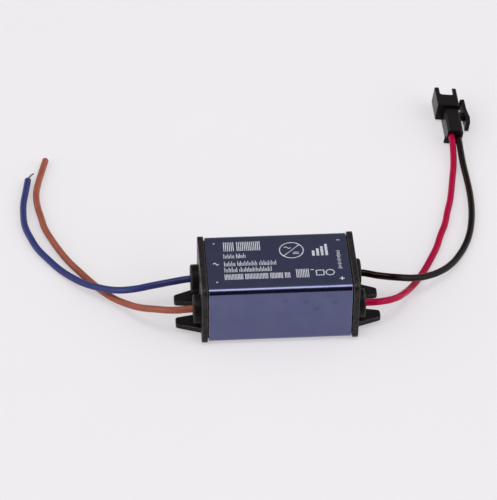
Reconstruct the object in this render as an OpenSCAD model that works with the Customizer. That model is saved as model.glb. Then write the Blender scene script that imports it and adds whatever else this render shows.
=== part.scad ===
// Small LED driver: aluminium tube, two moulded end caps with ears,
// four bushed leads and a two-way output connector. Millimetres, +Z up.
// Origin: centre of the footprint, on the surface that the end caps stand on.
// Mains input is at -X, low-voltage output at +X, the label face is the top.

/* [Housing] */
// Length of the aluminium tube along X
tube_l = 40; // [38:0.5:60]
// Outside width of the tube along Y
tube_w = 25; // [24:0.5:32]
// Outside height of the tube along Z
tube_h = 19; // [17:0.5:26]
// Wall thickness of the tube
tube_wall = 1.2; // [0.8:0.1:1.6]
// Outside radius of the four long edges
tube_edge_r = 2.0; // [1:0.1:2.4]
// Depth of the ribs that form the board slots
rib_d = 1.0; // [0.8:0.1:1.4]
// Thickness of the ribs that form the board slots
rib_t = 0.8; // [0.6:0.1:1.2]

/* [End caps] */
// Thickness of the cover plate of an end cap
plate_t = 1.7; // [1.2:0.1:2.5]
// How far the plate stands out past the tube, all round
plate_over = 0.4; // [0.2:0.1:1]
// Width of the shadow gap between plate and tube
collar_t = 0.3; // [0.2:0.1:0.8]
// How far the collar in the shadow gap lies inside the tube's outline
collar_inset = 0.6; // [0.4:0.1:0.9]
// Length of the two spigot tongues inside the tube
spigot_l = 3.0; // [2:0.1:4]
// Thickness of a spigot tongue
spigot_t = 1.2; // [0.8:0.1:1.3]
// Width of a spigot tongue
spigot_w = 16; // [10:0.5:17]

/* [Ears] */
// Length of an ear outside the plate
ear_l = 7.0; // [4:0.1:12]
// Width of an ear where it leaves the plate
ear_root_w = 6.5; // [5:0.1:8]
// Width of an ear at its tip
ear_tip_w = 3.4; // [3:0.1:5]
// Distance of the middle of the ear's root from the plate's side edge
ear_root_edge = 7.3; // [5.9:0.1:8.4]
// Distance of the middle of the ear's tip from the plate's side edge
ear_tip_edge = 8.0; // [5.9:0.1:9.4]
// Thickness of an ear at its root
ear_root_t = 1.8; // [1.2:0.1:2.2]
// Thickness of an ear at its tip
ear_tip_t = 1.4; // [1:0.1:2]
// Height of the ear's underside above the base
ear_lift = 1.3; // [0:0.1:1.8]
// Corner radius at the ear's tip
ear_tip_r = 0.9; // [0.4:0.1:1.4]

/* [Cable bushings] */
// Distance of a bushing's axis from the plate's side edge
bush_edge = 6.4; // [5.9:0.1:7.4]
// Height of the bushings above the base
bush_z = 8.4; // [8.2:0.1:9.4]
// Diameter of the outer flange
bush_d = 8.2; // [7:0.1:9]
// Thickness of the outer flange
bush_t = 2.2; // [1.2:0.1:3]
// Chamfer of the outer flange
bush_chamfer = 0.3; // [0.1:0.1:0.6]
// Diameter of the neck in the plate
neck_d = 5.6; // [4.5:0.1:6]
// Diameter of the inner flange behind the plate
inner_d = 7.0; // [6.4:0.1:7.6]
// Thickness of the inner flange
inner_t = 1.2; // [0.8:0.1:1.6]

/* [Leads] */
// Diameter over the insulation
lead_d = 2.0; // [1.6:0.1:2]
// Diameter of a stripped strand
strand_d = 0.7; // [0.5:0.1:1.1]
// Length of the neutral lead's stripped strand
neutral_strip = 3.2; // [1:0.1:6]
// Length of the live lead's stripped strand
live_strip = 1.0; // [1:0.1:6]

/* [Circuit board] */
// Thickness of the board
board_t = 1.2; // [0.8:0.1:1.6]
// Height of the board's underside above the tube's inner floor
board_lift = 2.6; // [2.4:0.1:3.2]
// Gap between the board and each side wall
board_side_gap = 0.2; // [0.1:0.05:0.4]
// Gap between the board and each inner flange
board_end_gap = 0.3; // [0.2:0.1:1]

/* [Transformer] */
// Place of the transformer along X
trafo_x = 2.5; // [1.5:0.1:3.5]
// Width of the ferrite core along Y
core_w = 10.2; // [9.6:0.1:11]
// Depth of the ferrite core along X
core_d = 4.7; // [4.2:0.1:5.2]
// Width of an outer leg and height of the end bars
core_leg = 1.3; // [1:0.1:1.5]
// Width of the centre leg
core_mid = 2.5; // [2:0.1:3]
// Gap between the core and the board
core_lift = 0.6; // [0.3:0.1:1]
// Room between the core and the tube's ceiling
core_room = 1.2; // [0.8:0.1:3]
// Wall of the bobbin's tube
bobbin_wall = 0.5; // [0.4:0.05:0.6]
// Thickness of the bobbin's flanges
bobbin_flange_t = 0.6; // [0.4:0.1:0.8]
// How far the flanges reach past the bobbin's tube along X
bobbin_flange = 1.6; // [1.2:0.1:1.8]
// How far the winding stays inside the flanges
winding_inset = 0.3; // [0.2:0.05:0.5]

/* [Capacitors] */
// Diameter of the input capacitor
input_cap_d = 8.0; // [6.3:0.1:8]
// Room between the input capacitor and the tube's ceiling
input_cap_room = 1.3; // [0.8:0.1:4]
// Lead pitch of the input capacitor
input_cap_pitch = 3.5; // [2.5:0.5:4]
// Diameter of the output capacitor
output_cap_d = 6.3; // [5:0.1:7]
// Room between the output capacitor and the tube's ceiling
output_cap_room = 1.8; // [0.8:0.1:4]
// Lead pitch of the output capacitor
output_cap_pitch = 2.5; // [2:0.5:3]
// Diameter of the ceramic disc of the safety capacitor
disc_d = 7.0; // [5:0.1:8]
// Thickness of the ceramic disc
disc_t = 2.8; // [2:0.1:3]
// Gap between the ceramic disc and the board
disc_lift = 1.0; // [0.5:0.1:1.5]

/* [Small parts] */
// Diameter of the drum choke
choke_d = 6.0; // [5:0.1:7]
// Height of the drum choke
choke_h = 7.0; // [5:0.1:8]
// Diameter of the fusible resistor's end bulges
fuse_d = 2.3; // [1.8:0.1:2.6]
// Length of the fusible resistor's body
fuse_l = 6.3; // [5:0.1:7]
// Diameter of the output diode
diode_d = 2.7; // [2:0.1:3]
// Length of the output diode's body
diode_l = 5.2; // [4:0.1:6]
// How far an axial lead runs before it turns down
axial_run = 1.2; // [0.8:0.1:1.4]
// Diameter of the component leads
leg_d = 0.6; // [0.4:0.05:0.7]
// How far the component leads stick out under the board
leg_tail = 1.2; // [0.8:0.1:1.6]
// Length of the bridge rectifier's body
bridge_l = 4.7; // [4:0.1:5]
// Width of the bridge rectifier's body
bridge_w = 3.9; // [3.5:0.1:4.2]
// Height of the bridge rectifier's body
bridge_h = 1.6; // [1.2:0.1:1.9]
// Length of the driver chip's body
chip_l = 4.9; // [4.5:0.1:5]
// Width of the driver chip's body
chip_w = 3.9; // [3.5:0.1:4]
// Height of the driver chip's body
chip_h = 1.5; // [1.2:0.1:1.8]
// Length of the current-sense resistor
sense_l = 3.2; // [2:0.1:3.4]
// Width of the current-sense resistor
sense_w = 1.6; // [1.2:0.1:1.8]

/* [Connector] */
// Place of the connector's rear end along X
conn_x = 59.9; // [59.4:0.1:60.4]
// Place of the connector's rear end along Y
conn_y = 75; // [74:0.1:76]
// Angle by which the connector leans over on its latch side
conn_lean = 7; // [0:1:10]
// Pitch of the two contacts
conn_pitch = 2.1; // [2.1:0.1:2.3]
// Width of the rear body
rear_w = 4.8; // [4.8:0.1:5.6]
// Height of the rear body's top above the surface
rear_h = 5.0; // [4.6:0.1:5.4]
// Length of the rear body
rear_l = 11.8; // [10:0.1:13]
// Chamfer along the rear body's top edges
rear_chamfer = 0.6; // [0.3:0.1:0.7]
// Length of the lip under the rear end
lip_l = 2.4; // [1.5:0.1:4]
// Thickness of the lip under the rear end
lip_t = 1.0; // [0.6:0.1:1.2]
// How far the lip flares out beside the rear body
lip_out = 0.6; // [0.3:0.1:1]
// Width of the shroud
shroud_w = 6.8; // [6.2:0.1:7.5]
// Height of the shroud
shroud_h = 5.8; // [5.6:0.1:7]
// Length of the shroud
shroud_l = 8.8; // [7:0.1:11]
// Radius of the shroud's long edges
shroud_edge_r = 0.4; // [0.2:0.1:0.6]
// Wall thickness of the shroud
shroud_wall = 0.7; // [0.5:0.05:0.8]
// Thickness of the wall behind the shroud's cavity
shroud_back = 1.6; // [1.2:0.1:2]
// Width of the notch in the shroud's top wall
notch_w = 4.2; // [3:0.1:4.4]
// Depth of the notch from the mouth
notch_l = 3.4; // [2:0.1:4]
// Length of the latch lever
lever_l = 11.8; // [11:0.1:13]
// How far the latch lever reaches along the shroud
lever_front = 5.7; // [5:0.1:7]
// Thickness of the latch lever
lever_t = 1.1; // [0.8:0.1:1.4]
// Height of the latch lever
lever_h = 3.2; // [2.5:0.1:4]
// Gap between the rear body and the lever
lever_gap = 1.5; // [1:0.1:1.8]
// Diameter of a contact's crimp barrel
barrel_d = 1.7; // [1.4:0.1:1.8]
// Diameter of a contact pin
pin_d = 1.0; // [0.8:0.05:1.1]
// How far a pin stays inside the shroud's mouth
pin_setback = 1.6; // [0.8:0.1:3]

/* [Fits] */
// Gap round pieces that slide into one another
slide_gap = 0.15; // [0.1:0.05:0.2]
// Gap round a lead or a contact in its bore
bore_gap = 0.1; // [0.05:0.05:0.12]
// Gap between parts that stand side by side on the board
part_gap = 0.5; // [0.4:0.05:0.7]

/* [Hidden] */
$fn = 64;

// How far a cutter runs on past what it cuts, and how far joined pieces run into one another
cut_over = 1;
sink = 0.2;

cap_w = tube_w + 2 * plate_over;
cap_h = tube_h + 2 * plate_over;
mid_z = cap_h / 2;
tube_end = tube_l / 2;
plate_in = tube_end + collar_t;
plate_out = plate_in + plate_t;
exit_x = plate_out + bush_t;
bush_y = cap_w / 2 - bush_edge;
ear_root_y = cap_w / 2 - ear_root_edge;
ear_tip_y = cap_w / 2 - ear_tip_edge;

inner_w = tube_w - 2 * tube_wall;
inner_h = tube_h - 2 * tube_wall;
inner_r = max(tube_edge_r - tube_wall, 0.2);
floor_z = plate_over + tube_wall;
ceiling_z = floor_z + inner_h;

board_z = floor_z + board_lift;
board_top = board_z + board_t;
board_l = tube_l - 2 * (inner_t + board_end_gap);
board_w = inner_w - 2 * board_side_gap;
rib_y = inner_w / 2 - rib_d;
// Where a lead turns down behind its bushing, and how far it then runs to its pad
turn_gap = 0.4;
pad_run = 3.6;
turn_x = tube_end - inner_t - turn_gap;
pad_x = turn_x - pad_run;

core_z = board_top + core_lift;
core_h = ceiling_z - core_room - core_z;
window_w = (core_w - 2 * core_leg - core_mid) / 2;
bobbin_in_y = core_mid + 2 * slide_gap;
bobbin_in_x = core_d + 2 * slide_gap;
bobbin_x = bobbin_in_x + 2 * (bobbin_wall + bobbin_flange);
bobbin_y = core_mid + 2 * (window_w - slide_gap);
bobbin_z = core_z + core_leg + slide_gap;
bobbin_h = core_h - 2 * (core_leg + slide_gap);
rail_w = bobbin_flange - slide_gap;
rail_x = bobbin_x / 2 - rail_w / 2;
pin_rows = 4;
pin_step = 2.4;

input_cap_x = trafo_x - bobbin_x / 2 - part_gap - input_cap_d / 2;
input_cap_y = rib_y - part_gap - input_cap_d / 2;
input_cap_h = ceiling_z - input_cap_room - board_top;
output_cap_x = (trafo_x + bobbin_x / 2 + pad_x) / 2;
output_cap_y = rib_y - part_gap - output_cap_d / 2;
output_cap_h = ceiling_z - output_cap_room - board_top;
choke_x = trafo_x - bobbin_x / 2 - part_gap - choke_d / 2;
choke_y = -(rib_y - part_gap - choke_d / 2);
choke_pitch = choke_d - 1;
disc_x = trafo_x;
disc_y = -(rib_y - part_gap - disc_t / 2);
disc_pitch = disc_d - 2;
fuse_setback = 0.6;
fuse_x = -(tube_end - inner_t - part_gap - fuse_d / 2 - fuse_setback);
fuse_y = 0;
fuse_pitch = fuse_l + 2 * axial_run;
diode_x = output_cap_x;
diode_y = -3.4;
diode_pitch = diode_l + 2 * axial_run;
bridge_x = fuse_x + fuse_d / 2 + part_gap + bridge_l / 2;
bridge_y = 0;
chip_shift = 1.2;
chip_x = input_cap_x + chip_shift;
chip_y = 0.3;
sense_setback = 1.5;
sense_x = tube_end - inner_t - part_gap - sense_l / 2 - sense_setback;
sense_y = 0;
hole_gap = 0.15;
hole_d = leg_d + 2 * hole_gap;

// How far a leg reaches up into its part, and how far an axial part lies above the board
leg_in = 0.5;
axial_lift = 0.05;

// Holes in the board, one for each through-hole leg
leg_spots = concat(
    [for (s = [-1, 1]) [input_cap_x + s * input_cap_pitch / 2, input_cap_y]],
    [for (s = [-1, 1]) [output_cap_x + s * output_cap_pitch / 2, output_cap_y]],
    [for (s = [-1, 1]) [choke_x, choke_y + s * choke_pitch / 2]],
    [for (s = [-1, 1]) [disc_x + s * disc_pitch / 2, disc_y]],
    [for (s = [-1, 1]) [fuse_x, fuse_y + s * fuse_pitch / 2]],
    [for (s = [-1, 1]) [diode_x, diode_y + s * diode_pitch / 2]],
    [for (s = [-1, 1], i = [0:pin_rows - 1])
        [trafo_x + s * rail_x, (i - (pin_rows - 1) / 2) * pin_step]]
);

// Leads: from the solder pad on the board, through the bushing, to the far end
lead_r = lead_d / 2;
pad_z = board_top + lead_r;
rear_z = 0.3;
wire_z = (rear_h + rear_z) / 2;
wire_in = 2.5;
wire_out = 2.7;

function lead_start(sx, sy) = [
    [sx * pad_x, sy * bush_y, pad_z],
    [sx * turn_x, sy * bush_y, bush_z],
    [sx * exit_x, sy * bush_y, bush_z]
];

// The connector leans about the middle of its shroud's lower edge, which rests on the surface
shroud_step = 0.1;
shroud_x = rear_w / 2 + shroud_step - shroud_w / 2;
lean_x = shroud_x + shroud_w / 2 - shroud_edge_r;
lean_z = shroud_edge_r;

// Where a point of the upright connector comes to lie
function conn_point(p) = let (x = p.x - lean_x, z = p.z - lean_z) [
    conn_x + lean_x + x * cos(conn_lean) + z * sin(conn_lean),
    conn_y + p.y,
    lean_z - x * sin(conn_lean) + z * cos(conn_lean)
];

function lead_end(s) = [
    for (y = [-wire_out, wire_in]) conn_point([s * conn_pitch / 2, y, wire_z])
];

neutral_route = concat(lead_start(-1, 1), [
    [-29.5, 5.6, 8.3], [-35, 5, 7.7], [-40.5, 5, 6.6], [-45.5, 6.5, 5.2],
    [-50.1, 9.5, 3.8], [-54.1, 13, 2.5], [-57.7, 17.1, 1.5], [-61.2, 21.5, 1],
    [-64.3, 26, 1], [-67.3, 31, 1], [-69.3, 36.1, 1], [-70.9, 41.7, 1],
    [-71.3, 46.8, 1], [-71.2, 52.4, 1], [-70.5, 57.9, 1], [-69.8, 63.3, 1]
]);

live_route = concat(lead_start(-1, -1), [
    [-29.5, -6.3, 8], [-34.5, -4.2, 6.8], [-39, -1, 4.9], [-42.4, 2.8, 3.1],
    [-45.9, 6.8, 1.8], [-49.4, 11.2, 1.2], [-52.4, 15.5, 1], [-55.4, 20, 1],
    [-58.5, 24.9, 1], [-61, 29.9, 1], [-63.1, 34.8, 1], [-65.1, 40.3, 1],
    [-66.1, 45.3, 1], [-67.1, 50.9, 1], [-67.4, 56.4, 1], [-66.7, 61.8, 1],
    [-65.6, 67.2, 1], [-64.4, 72.6, 1]
]);

positive_route = concat(lead_start(1, -1), [
    [29.4, -5.8, 8.05], [33.4, -2.8, 6.4], [36.4, 1.65, 4.2], [38.9, 6.1, 2.3],
    [41.6, 10.9, 1.2], [44.2, 15.6, 1], [46.7, 20.7, 1], [48.7, 25.2, 1],
    [50.6, 30.8, 1], [52.5, 35.9, 1], [53.9, 41.4, 1], [55.4, 46.9, 1],
    [56.4, 51.9, 1], [57.4, 57.4, 1], [58.4, 63, 1.2], [59, 68.5, 2]
], lead_end(-1));

negative_route = concat(lead_start(1, 1), [
    [29.5, 4.9, 8.4], [35, 4.5, 7.8], [40, 5.8, 6.3], [44.5, 8.6, 4.6],
    [48.5, 12.1, 3.2], [52, 16.4, 2], [54.7, 20.8, 1.3], [57.2, 25.7, 1],
    [59.1, 30.8, 1], [60.4, 36.4, 1], [61.2, 41.9, 1], [61.6, 47.3, 1],
    [61.7, 52.8, 1], [61.6, 58.3, 1], [61.4, 63.9, 1.3], [61.3, 68.9, 2]
], lead_end(1));

// Flat rectangle with round corners, centred
module rounded_rect(w, h, r) {
    square([w - 2 * r, h], center = true);
    square([w, h - 2 * r], center = true);
    for (sx = [-1, 1], sy = [-1, 1])
        translate([sx * (w / 2 - r), sy * (h / 2 - r)]) circle(r);
}

// Turns a flat shape in Y and Z into a solid along X, from x0, of length l
module along_x(x0, l) {
    translate([x0, 0, 0]) rotate([90, 0, 90]) linear_extrude(l) children();
}

// Cylinder along Y, from y = 0
module cylinder_y(l, d) {
    rotate([-90, 0, 0]) cylinder(h = l, d = d);
}

// Points of an arc about c
function arc(c, r, a0, a1, n = 8) = [
    for (i = [0:n]) c + r * [cos(a0 + (a1 - a0) * i / n), sin(a0 + (a1 - a0) * i / n)]
];

// Extruded aluminium tube with two slots for the board
module housing_tube() {
    color([0.2, 0.21, 0.33])
    along_x(-tube_end, tube_l) translate([0, mid_z]) {
        difference() {
            rounded_rect(tube_w, tube_h, tube_edge_r);
            rounded_rect(inner_w, inner_h, inner_r);
        }
        for (s = [-1, 1]) {
            slot_rib(s, board_z - rib_t);
            slot_rib(s, board_top + slide_gap);
        }
    }
}

// One slot rib of the tube's section, with its lower side at height z
module slot_rib(s, z) {
    y = rib_d / 2 + rib_y;
    translate([s * y, z + rib_t / 2 - mid_z]) square([rib_d + 0.02, rib_t], center = true);
}

// Outline of one ear, from the plate at x = 0 to the tip, at +Y
module ear_plan() {
    in0 = ear_root_y - ear_root_w / 2;
    in1 = ear_tip_y - ear_tip_w / 2;
    out0 = ear_root_y + ear_root_w / 2;
    out1 = ear_tip_y + ear_tip_w / 2;
    tip_in = [ear_l - ear_tip_r, in1 + ear_tip_r];
    tip_out = [ear_l - ear_tip_r, out1 - ear_tip_r];
    a_in = atan2(in1 - in0, ear_l);
    a_out = atan2(out1 - out0, ear_l);
    polygon(concat(
        [[-sink, in0], [0, in0]],
        arc(tip_in, ear_tip_r, -90 + a_in, 0),
        arc(tip_out, ear_tip_r, 0, 90 + a_out),
        [[0, out0], [-sink, out0]]
    ));
}

// Ear that thins towards its tip
module ear() {
    intersection() {
        linear_extrude(ear_root_t) ear_plan();
        translate([0, tube_w, 0]) rotate([90, 0, 0]) linear_extrude(2 * tube_w)
            polygon([[-sink, 0], [ear_l, 0], [ear_l, ear_tip_t], [0, ear_root_t], [-sink, ear_root_t]]);
    }
}

// End cap for the +X end: plate, collar, two spigot tongues and two ears
module end_cap() {
    difference() {
        union() {
            along_x(plate_in, plate_t) translate([0, mid_z])
                rounded_rect(cap_w, cap_h, tube_edge_r + plate_over);
            along_x(tube_end, collar_t) translate([0, mid_z])
                rounded_rect(tube_w - 2 * collar_inset, tube_h - 2 * collar_inset,
                    tube_edge_r - collar_inset / 2);
            for (s = [-1, 1])
                along_x(tube_end - spigot_l, spigot_l + collar_t)
                    translate([0, mid_z + s * (inner_h / 2 - slide_gap - spigot_t / 2)])
                    square([spigot_w, spigot_t], center = true);
            for (s = [0, 1])
                mirror([0, s, 0]) translate([plate_out, 0, ear_lift]) ear();
        }
        for (s = [-1, 1])
            translate([tube_end - cut_over, s * bush_y, bush_z]) rotate([0, 90, 0])
                cylinder(h = plate_out - tube_end + 2 * cut_over, d = neck_d + 2 * bore_gap);
    }
}

module output_end_cap() {
    color([0.13, 0.13, 0.14]) end_cap();
}

module input_end_cap() {
    color([0.13, 0.13, 0.14]) mirror([1, 0, 0]) end_cap();
}

// Rubber bushing with a groove that grips the plate, for the +X, +Y place
module bushing() {
    bore_r = lead_r + bore_gap;
    neck_l = plate_t + collar_t;
    translate([tube_end, bush_y, bush_z]) rotate([0, 90, 0]) rotate_extrude()
        polygon([
            [bore_r, -inner_t], [inner_d / 2, -inner_t], [inner_d / 2, 0],
            [neck_d / 2, 0], [neck_d / 2, neck_l], [bush_d / 2, neck_l],
            [bush_d / 2, neck_l + bush_t - bush_chamfer],
            [bush_d / 2 - bush_chamfer, neck_l + bush_t], [bore_r, neck_l + bush_t]
        ]);
}

module live_bushing() {
    color([0.1, 0.1, 0.11]) mirror([1, 0, 0]) mirror([0, 1, 0]) bushing();
}

module neutral_bushing() {
    color([0.1, 0.1, 0.11]) mirror([1, 0, 0]) bushing();
}

module positive_bushing() {
    color([0.1, 0.1, 0.11]) mirror([0, 1, 0]) bushing();
}

module negative_bushing() {
    color([0.1, 0.1, 0.11]) bushing();
}

// Board that slides into the tube's slots, drilled for the component legs
module circuit_board() {
    color([0.1, 0.35, 0.2])
    difference() {
        translate([-board_l / 2, -board_w / 2, board_z]) cube([board_l, board_w, board_t]);
        for (p = leg_spots)
            translate([p.x, p.y, board_z - cut_over])
                cylinder(h = board_t + 2 * cut_over, d = hole_d, $fn = 24);
    }
}

// Straight leg from height z above the board, down through it
module leg(z) {
    translate([0, 0, -board_t - leg_tail]) cylinder(h = z + board_t + leg_tail, d = leg_d, $fn = 24);
}

// Electrolytic can with a crimp groove near its base and a scored top
module can(d, h, pitch) {
    r = d / 2;
    crimp_z = 1;
    crimp = 0.3;
    shoulder = 0.4;
    score_w = 0.3;
    score_d = 0.2;
    difference() {
        rotate_extrude()
            polygon([
                [0, 0], [r, 0], [r, crimp_z], [r - crimp, crimp_z + crimp],
                [r - crimp, crimp_z + 2 * crimp], [r, crimp_z + 3 * crimp],
                [r, h - shoulder], [r - shoulder, h], [0, h]
            ]);
        for (a = [0, 90])
            rotate(a) translate([-d / 4, -score_w / 2, h - score_d]) cube([d / 2, score_w, cut_over]);
    }
    for (s = [-1, 1]) translate([s * pitch / 2, 0, 0]) leg(leg_in);
}

module input_capacitor() {
    color([0.12, 0.12, 0.16]) translate([input_cap_x, input_cap_y, board_top])
        can(input_cap_d, input_cap_h, input_cap_pitch);
}

module output_capacitor() {
    color([0.12, 0.2, 0.3]) translate([output_cap_x, output_cap_y, board_top])
        can(output_cap_d, output_cap_h, output_cap_pitch);
}

// Drum core with its winding in a shrink sleeve
module input_choke() {
    r = choke_d / 2;
    rim_t = 1;
    waist = 0.3;
    slope = 0.4;
    color([0.15, 0.3, 0.2]) translate([choke_x, choke_y, board_top]) {
        rotate_extrude()
            polygon([
                [0, 0], [r, 0], [r, rim_t], [r - waist, rim_t + slope],
                [r - waist, choke_h - rim_t - slope], [r, choke_h - rim_t], [r, choke_h], [0, choke_h]
            ]);
        for (s = [-1, 1]) translate([0, s * choke_pitch / 2, 0]) leg(leg_in);
    }
}

// Legs of an axial part: straight out along Y, then down through the board
module axial_legs(z, pitch) {
    translate([0, -pitch / 2, z]) cylinder_y(pitch, leg_d, $fn = 24);
    for (s = [-1, 1])
        translate([0, s * pitch / 2, 0]) {
            leg(z);
            translate([0, 0, z]) sphere(d = leg_d, $fn = 24);
        }
}

// Fusible resistor: a lacquered body with thicker ends
module fusible_resistor() {
    r = fuse_d / 2;
    h = fuse_l / 2;
    edge = 0.4;
    waist = 0.25;
    bulge = h - 1.2;
    neck = h - 1.7;
    color([0.6, 0.75, 0.65]) translate([fuse_x, fuse_y, board_top]) {
        translate([0, 0, r + axial_lift]) rotate([-90, 0, 0]) rotate_extrude()
            polygon([
                [0, -h], [r - edge, -h], [r, -h + edge], [r, -bulge], [r - waist, -neck],
                [r - waist, neck], [r, bulge], [r, h - edge], [r - edge, h], [0, h]
            ]);
        axial_legs(r + axial_lift, fuse_pitch);
    }
}

// Output diode in a plain moulded barrel
module output_diode() {
    r = diode_d / 2;
    color([0.08, 0.08, 0.09]) translate([diode_x, diode_y, board_top]) {
        translate([0, -diode_l / 2, r + axial_lift]) cylinder_y(diode_l, diode_d);
        axial_legs(r + axial_lift, diode_pitch);
    }
}

// Flat package under the board with n gull-wing legs on each Y side
module flat_package(l, w, h, n, step, foot_w) {
    standoff = 0.1;
    foot_t = 0.2;
    foot_l = 1.1;
    knee = 0.35;
    leg_z = -h / 2;
    translate([-l / 2, -w / 2, -h]) cube([l, w, h - standoff]);
    for (s = [0, 1], i = [0:n - 1])
        mirror([0, s, 0]) translate([(i - (n - 1) / 2) * step, w / 2, 0])
            rotate([90, 0, 90]) linear_extrude(foot_w, center = true)
            polygon([
                [-sink, leg_z - foot_t / 2], [knee, leg_z - foot_t / 2], [knee, -foot_t],
                [foot_l, -foot_t], [foot_l, 0], [knee - foot_t, 0],
                [knee - foot_t, leg_z + foot_t / 2], [-sink, leg_z + foot_t / 2]
            ]);
}

module bridge_rectifier() {
    color([0.1, 0.1, 0.11]) translate([bridge_x, bridge_y, board_z])
        flat_package(bridge_l, bridge_w, bridge_h, n = 2, step = 2.5, foot_w = 0.7);
}

module driver_chip() {
    color([0.1, 0.1, 0.11]) translate([chip_x, chip_y, board_z])
        flat_package(chip_l, chip_w, chip_h, n = 4, step = 1.27, foot_w = 0.42);
}

// Chip resistor under the board, with a raised terminal at each end
module sense_resistor() {
    sense_t = 0.5;
    end_l = 0.5;
    end_t = 0.6;
    color([0.15, 0.15, 0.16]) translate([sense_x, sense_y, board_z]) {
        translate([0, 0, -end_t / 2]) cube([sense_l, sense_w, sense_t], center = true);
        for (s = [-1, 1])
            translate([s * (sense_l - end_l) / 2, 0, -end_t / 2])
                cube([end_l, sense_w, end_t], center = true);
    }
}

// One E-shaped half of the transformer's core, with its bar at the bottom
module core_half() {
    h = core_h / 2;
    translate([trafo_x - core_d / 2, 0, 0]) difference() {
        translate([0, -core_w / 2, 0]) cube([core_d, core_w, h]);
        for (s = [-1, 1])
            translate([-cut_over, s * (core_mid + window_w) / 2 - window_w / 2, core_leg])
                cube([core_d + 2 * cut_over, window_w, h]);
    }
}

module lower_core() {
    color([0.2, 0.2, 0.21]) translate([0, 0, core_z]) core_half();
}

module upper_core() {
    color([0.2, 0.2, 0.21]) translate([0, 0, core_z + core_h]) mirror([0, 0, 1]) core_half();
}

// Bobbin: a tube round the centre leg, two flanges and two pin rails
module transformer_bobbin() {
    color([0.75, 0.72, 0.6]) translate([trafo_x, 0, 0]) {
        difference() {
            union() {
                translate([0, 0, bobbin_z]) linear_extrude(bobbin_h)
                    square([bobbin_in_x + 2 * bobbin_wall, bobbin_in_y + 2 * bobbin_wall], center = true);
                for (z = [bobbin_z, bobbin_z + bobbin_h - bobbin_flange_t])
                    translate([0, 0, z]) linear_extrude(bobbin_flange_t)
                        rounded_rect(bobbin_x, bobbin_y, 0.5);
            }
            translate([0, 0, bobbin_z - cut_over]) linear_extrude(bobbin_h + 2 * cut_over)
                square([bobbin_in_x, bobbin_in_y], center = true);
        }
        for (s = [-1, 1]) {
            translate([s * rail_x - rail_w / 2, -(pin_rows * pin_step) / 2, board_top])
                cube([rail_w, pin_rows * pin_step, bobbin_z + bobbin_flange_t - board_top]);
            for (i = [0:pin_rows - 1])
                translate([s * rail_x, (i - (pin_rows - 1) / 2) * pin_step, board_top]) leg(leg_in);
        }
    }
}

// Taped winding between the bobbin's flanges
module transformer_winding() {
    z0 = bobbin_z + bobbin_flange_t + bore_gap;
    z1 = bobbin_z + bobbin_h - bobbin_flange_t - bore_gap;
    color([0.85, 0.7, 0.2]) translate([trafo_x, 0, z0]) linear_extrude(z1 - z0) difference() {
        rounded_rect(bobbin_x - 2 * winding_inset, bobbin_y - 2 * winding_inset, 0.6);
        square([
            bobbin_in_x + 2 * (bobbin_wall + bore_gap),
            bobbin_in_y + 2 * (bobbin_wall + bore_gap)
        ], center = true);
    }
}

// Lacquered ceramic disc on two legs
module safety_capacitor() {
    r = disc_d / 2;
    e = disc_t / 2;
    shoulder = 0.8;
    color([0.2, 0.35, 0.7]) translate([disc_x, disc_y, board_top]) {
        translate([0, 0, disc_lift + r]) rotate([90, 0, 0]) rotate_extrude()
            polygon([[0, -e], [r - shoulder, -e], [r, -e / 2], [r, e / 2], [r - shoulder, e], [0, e]]);
        for (s = [-1, 1]) translate([s * disc_pitch / 2, 0, 0]) leg(disc_lift + r);
    }
}

// Round tube swept along a route, one ring of n points at each route point
function unit(v) = v / norm(v);
function route_dir(p, i) = unit(p[min(i + 1, len(p) - 1)] - p[max(i - 1, 0)]);
function ring(c, t, r, n) = let (s = unit(cross(t, [0, 0, 1])), u = cross(s, t))
    [for (k = [0:n - 1]) c + r * (cos(360 * k / n) * s + sin(360 * k / n) * u)];

module swept_tube(p, d, n = 8) {
    last = len(p) - 1;
    points = [for (i = [0:last]) each ring(p[i], route_dir(p, i), d / 2, n)];
    sides = [
        for (i = [0:last - 1], k = [0:n - 1])
            [i * n + k, (i + 1) * n + k, (i + 1) * n + (k + 1) % n, i * n + (k + 1) % n]
    ];
    start = [[for (k = [0:n - 1]) k]];
    end = [[for (k = [n - 1:-1:0]) last * n + k]];
    polyhedron(points, concat(start, sides, end), convexity = 8);
}

module live_lead() {
    color([0.63, 0.35, 0.27]) swept_tube(live_route, lead_d);
}

module neutral_lead() {
    color([0.2, 0.25, 0.6]) swept_tube(neutral_route, lead_d);
}

module positive_lead() {
    color([0.75, 0.05, 0.25]) swept_tube(positive_route, lead_d);
}

module negative_lead() {
    color([0.1, 0.1, 0.1]) swept_tube(negative_route, lead_d);
}

// Tinned strand of length l at the end of a route
module strand(route, l) {
    last = route[len(route) - 1];
    dir = route_dir(route, len(route) - 1);
    translate(last) rotate(atan2(dir.y, dir.x)) rotate([0, 90, 0])
        cylinder(h = l, d = strand_d, $fn = 24);
}

module live_strand() {
    color([0.75, 0.75, 0.75]) strand(live_route, live_strip);
}

module neutral_strand() {
    color([0.75, 0.75, 0.75]) strand(neutral_route, neutral_strip);
}

// Puts the upright connector, drawn from its rear end along +Y, in its place
module conn_place() {
    translate([conn_x + lean_x, conn_y, lean_z]) rotate([0, conn_lean, 0])
        translate([-lean_x, 0, -lean_z]) children();
}

// Rear body's section, seen along Y
module rear_section() {
    w = rear_w / 2;
    c = rear_chamfer;
    polygon([
        [-w, rear_z], [w, rear_z], [w, rear_h - c], [w - c, rear_h], [-w + c, rear_h], [-w, rear_h - c]
    ]);
}

// Lip under the rear end that flares out on the side away from the lever
module rear_lip() {
    w = rear_w / 2;
    e = 0.4;
    linear_extrude(lip_t)
        polygon([[-w, lip_l], [-w - lip_out, e], [-w - lip_out, 0], [w - e, 0], [w - e, lip_l]]);
}

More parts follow.
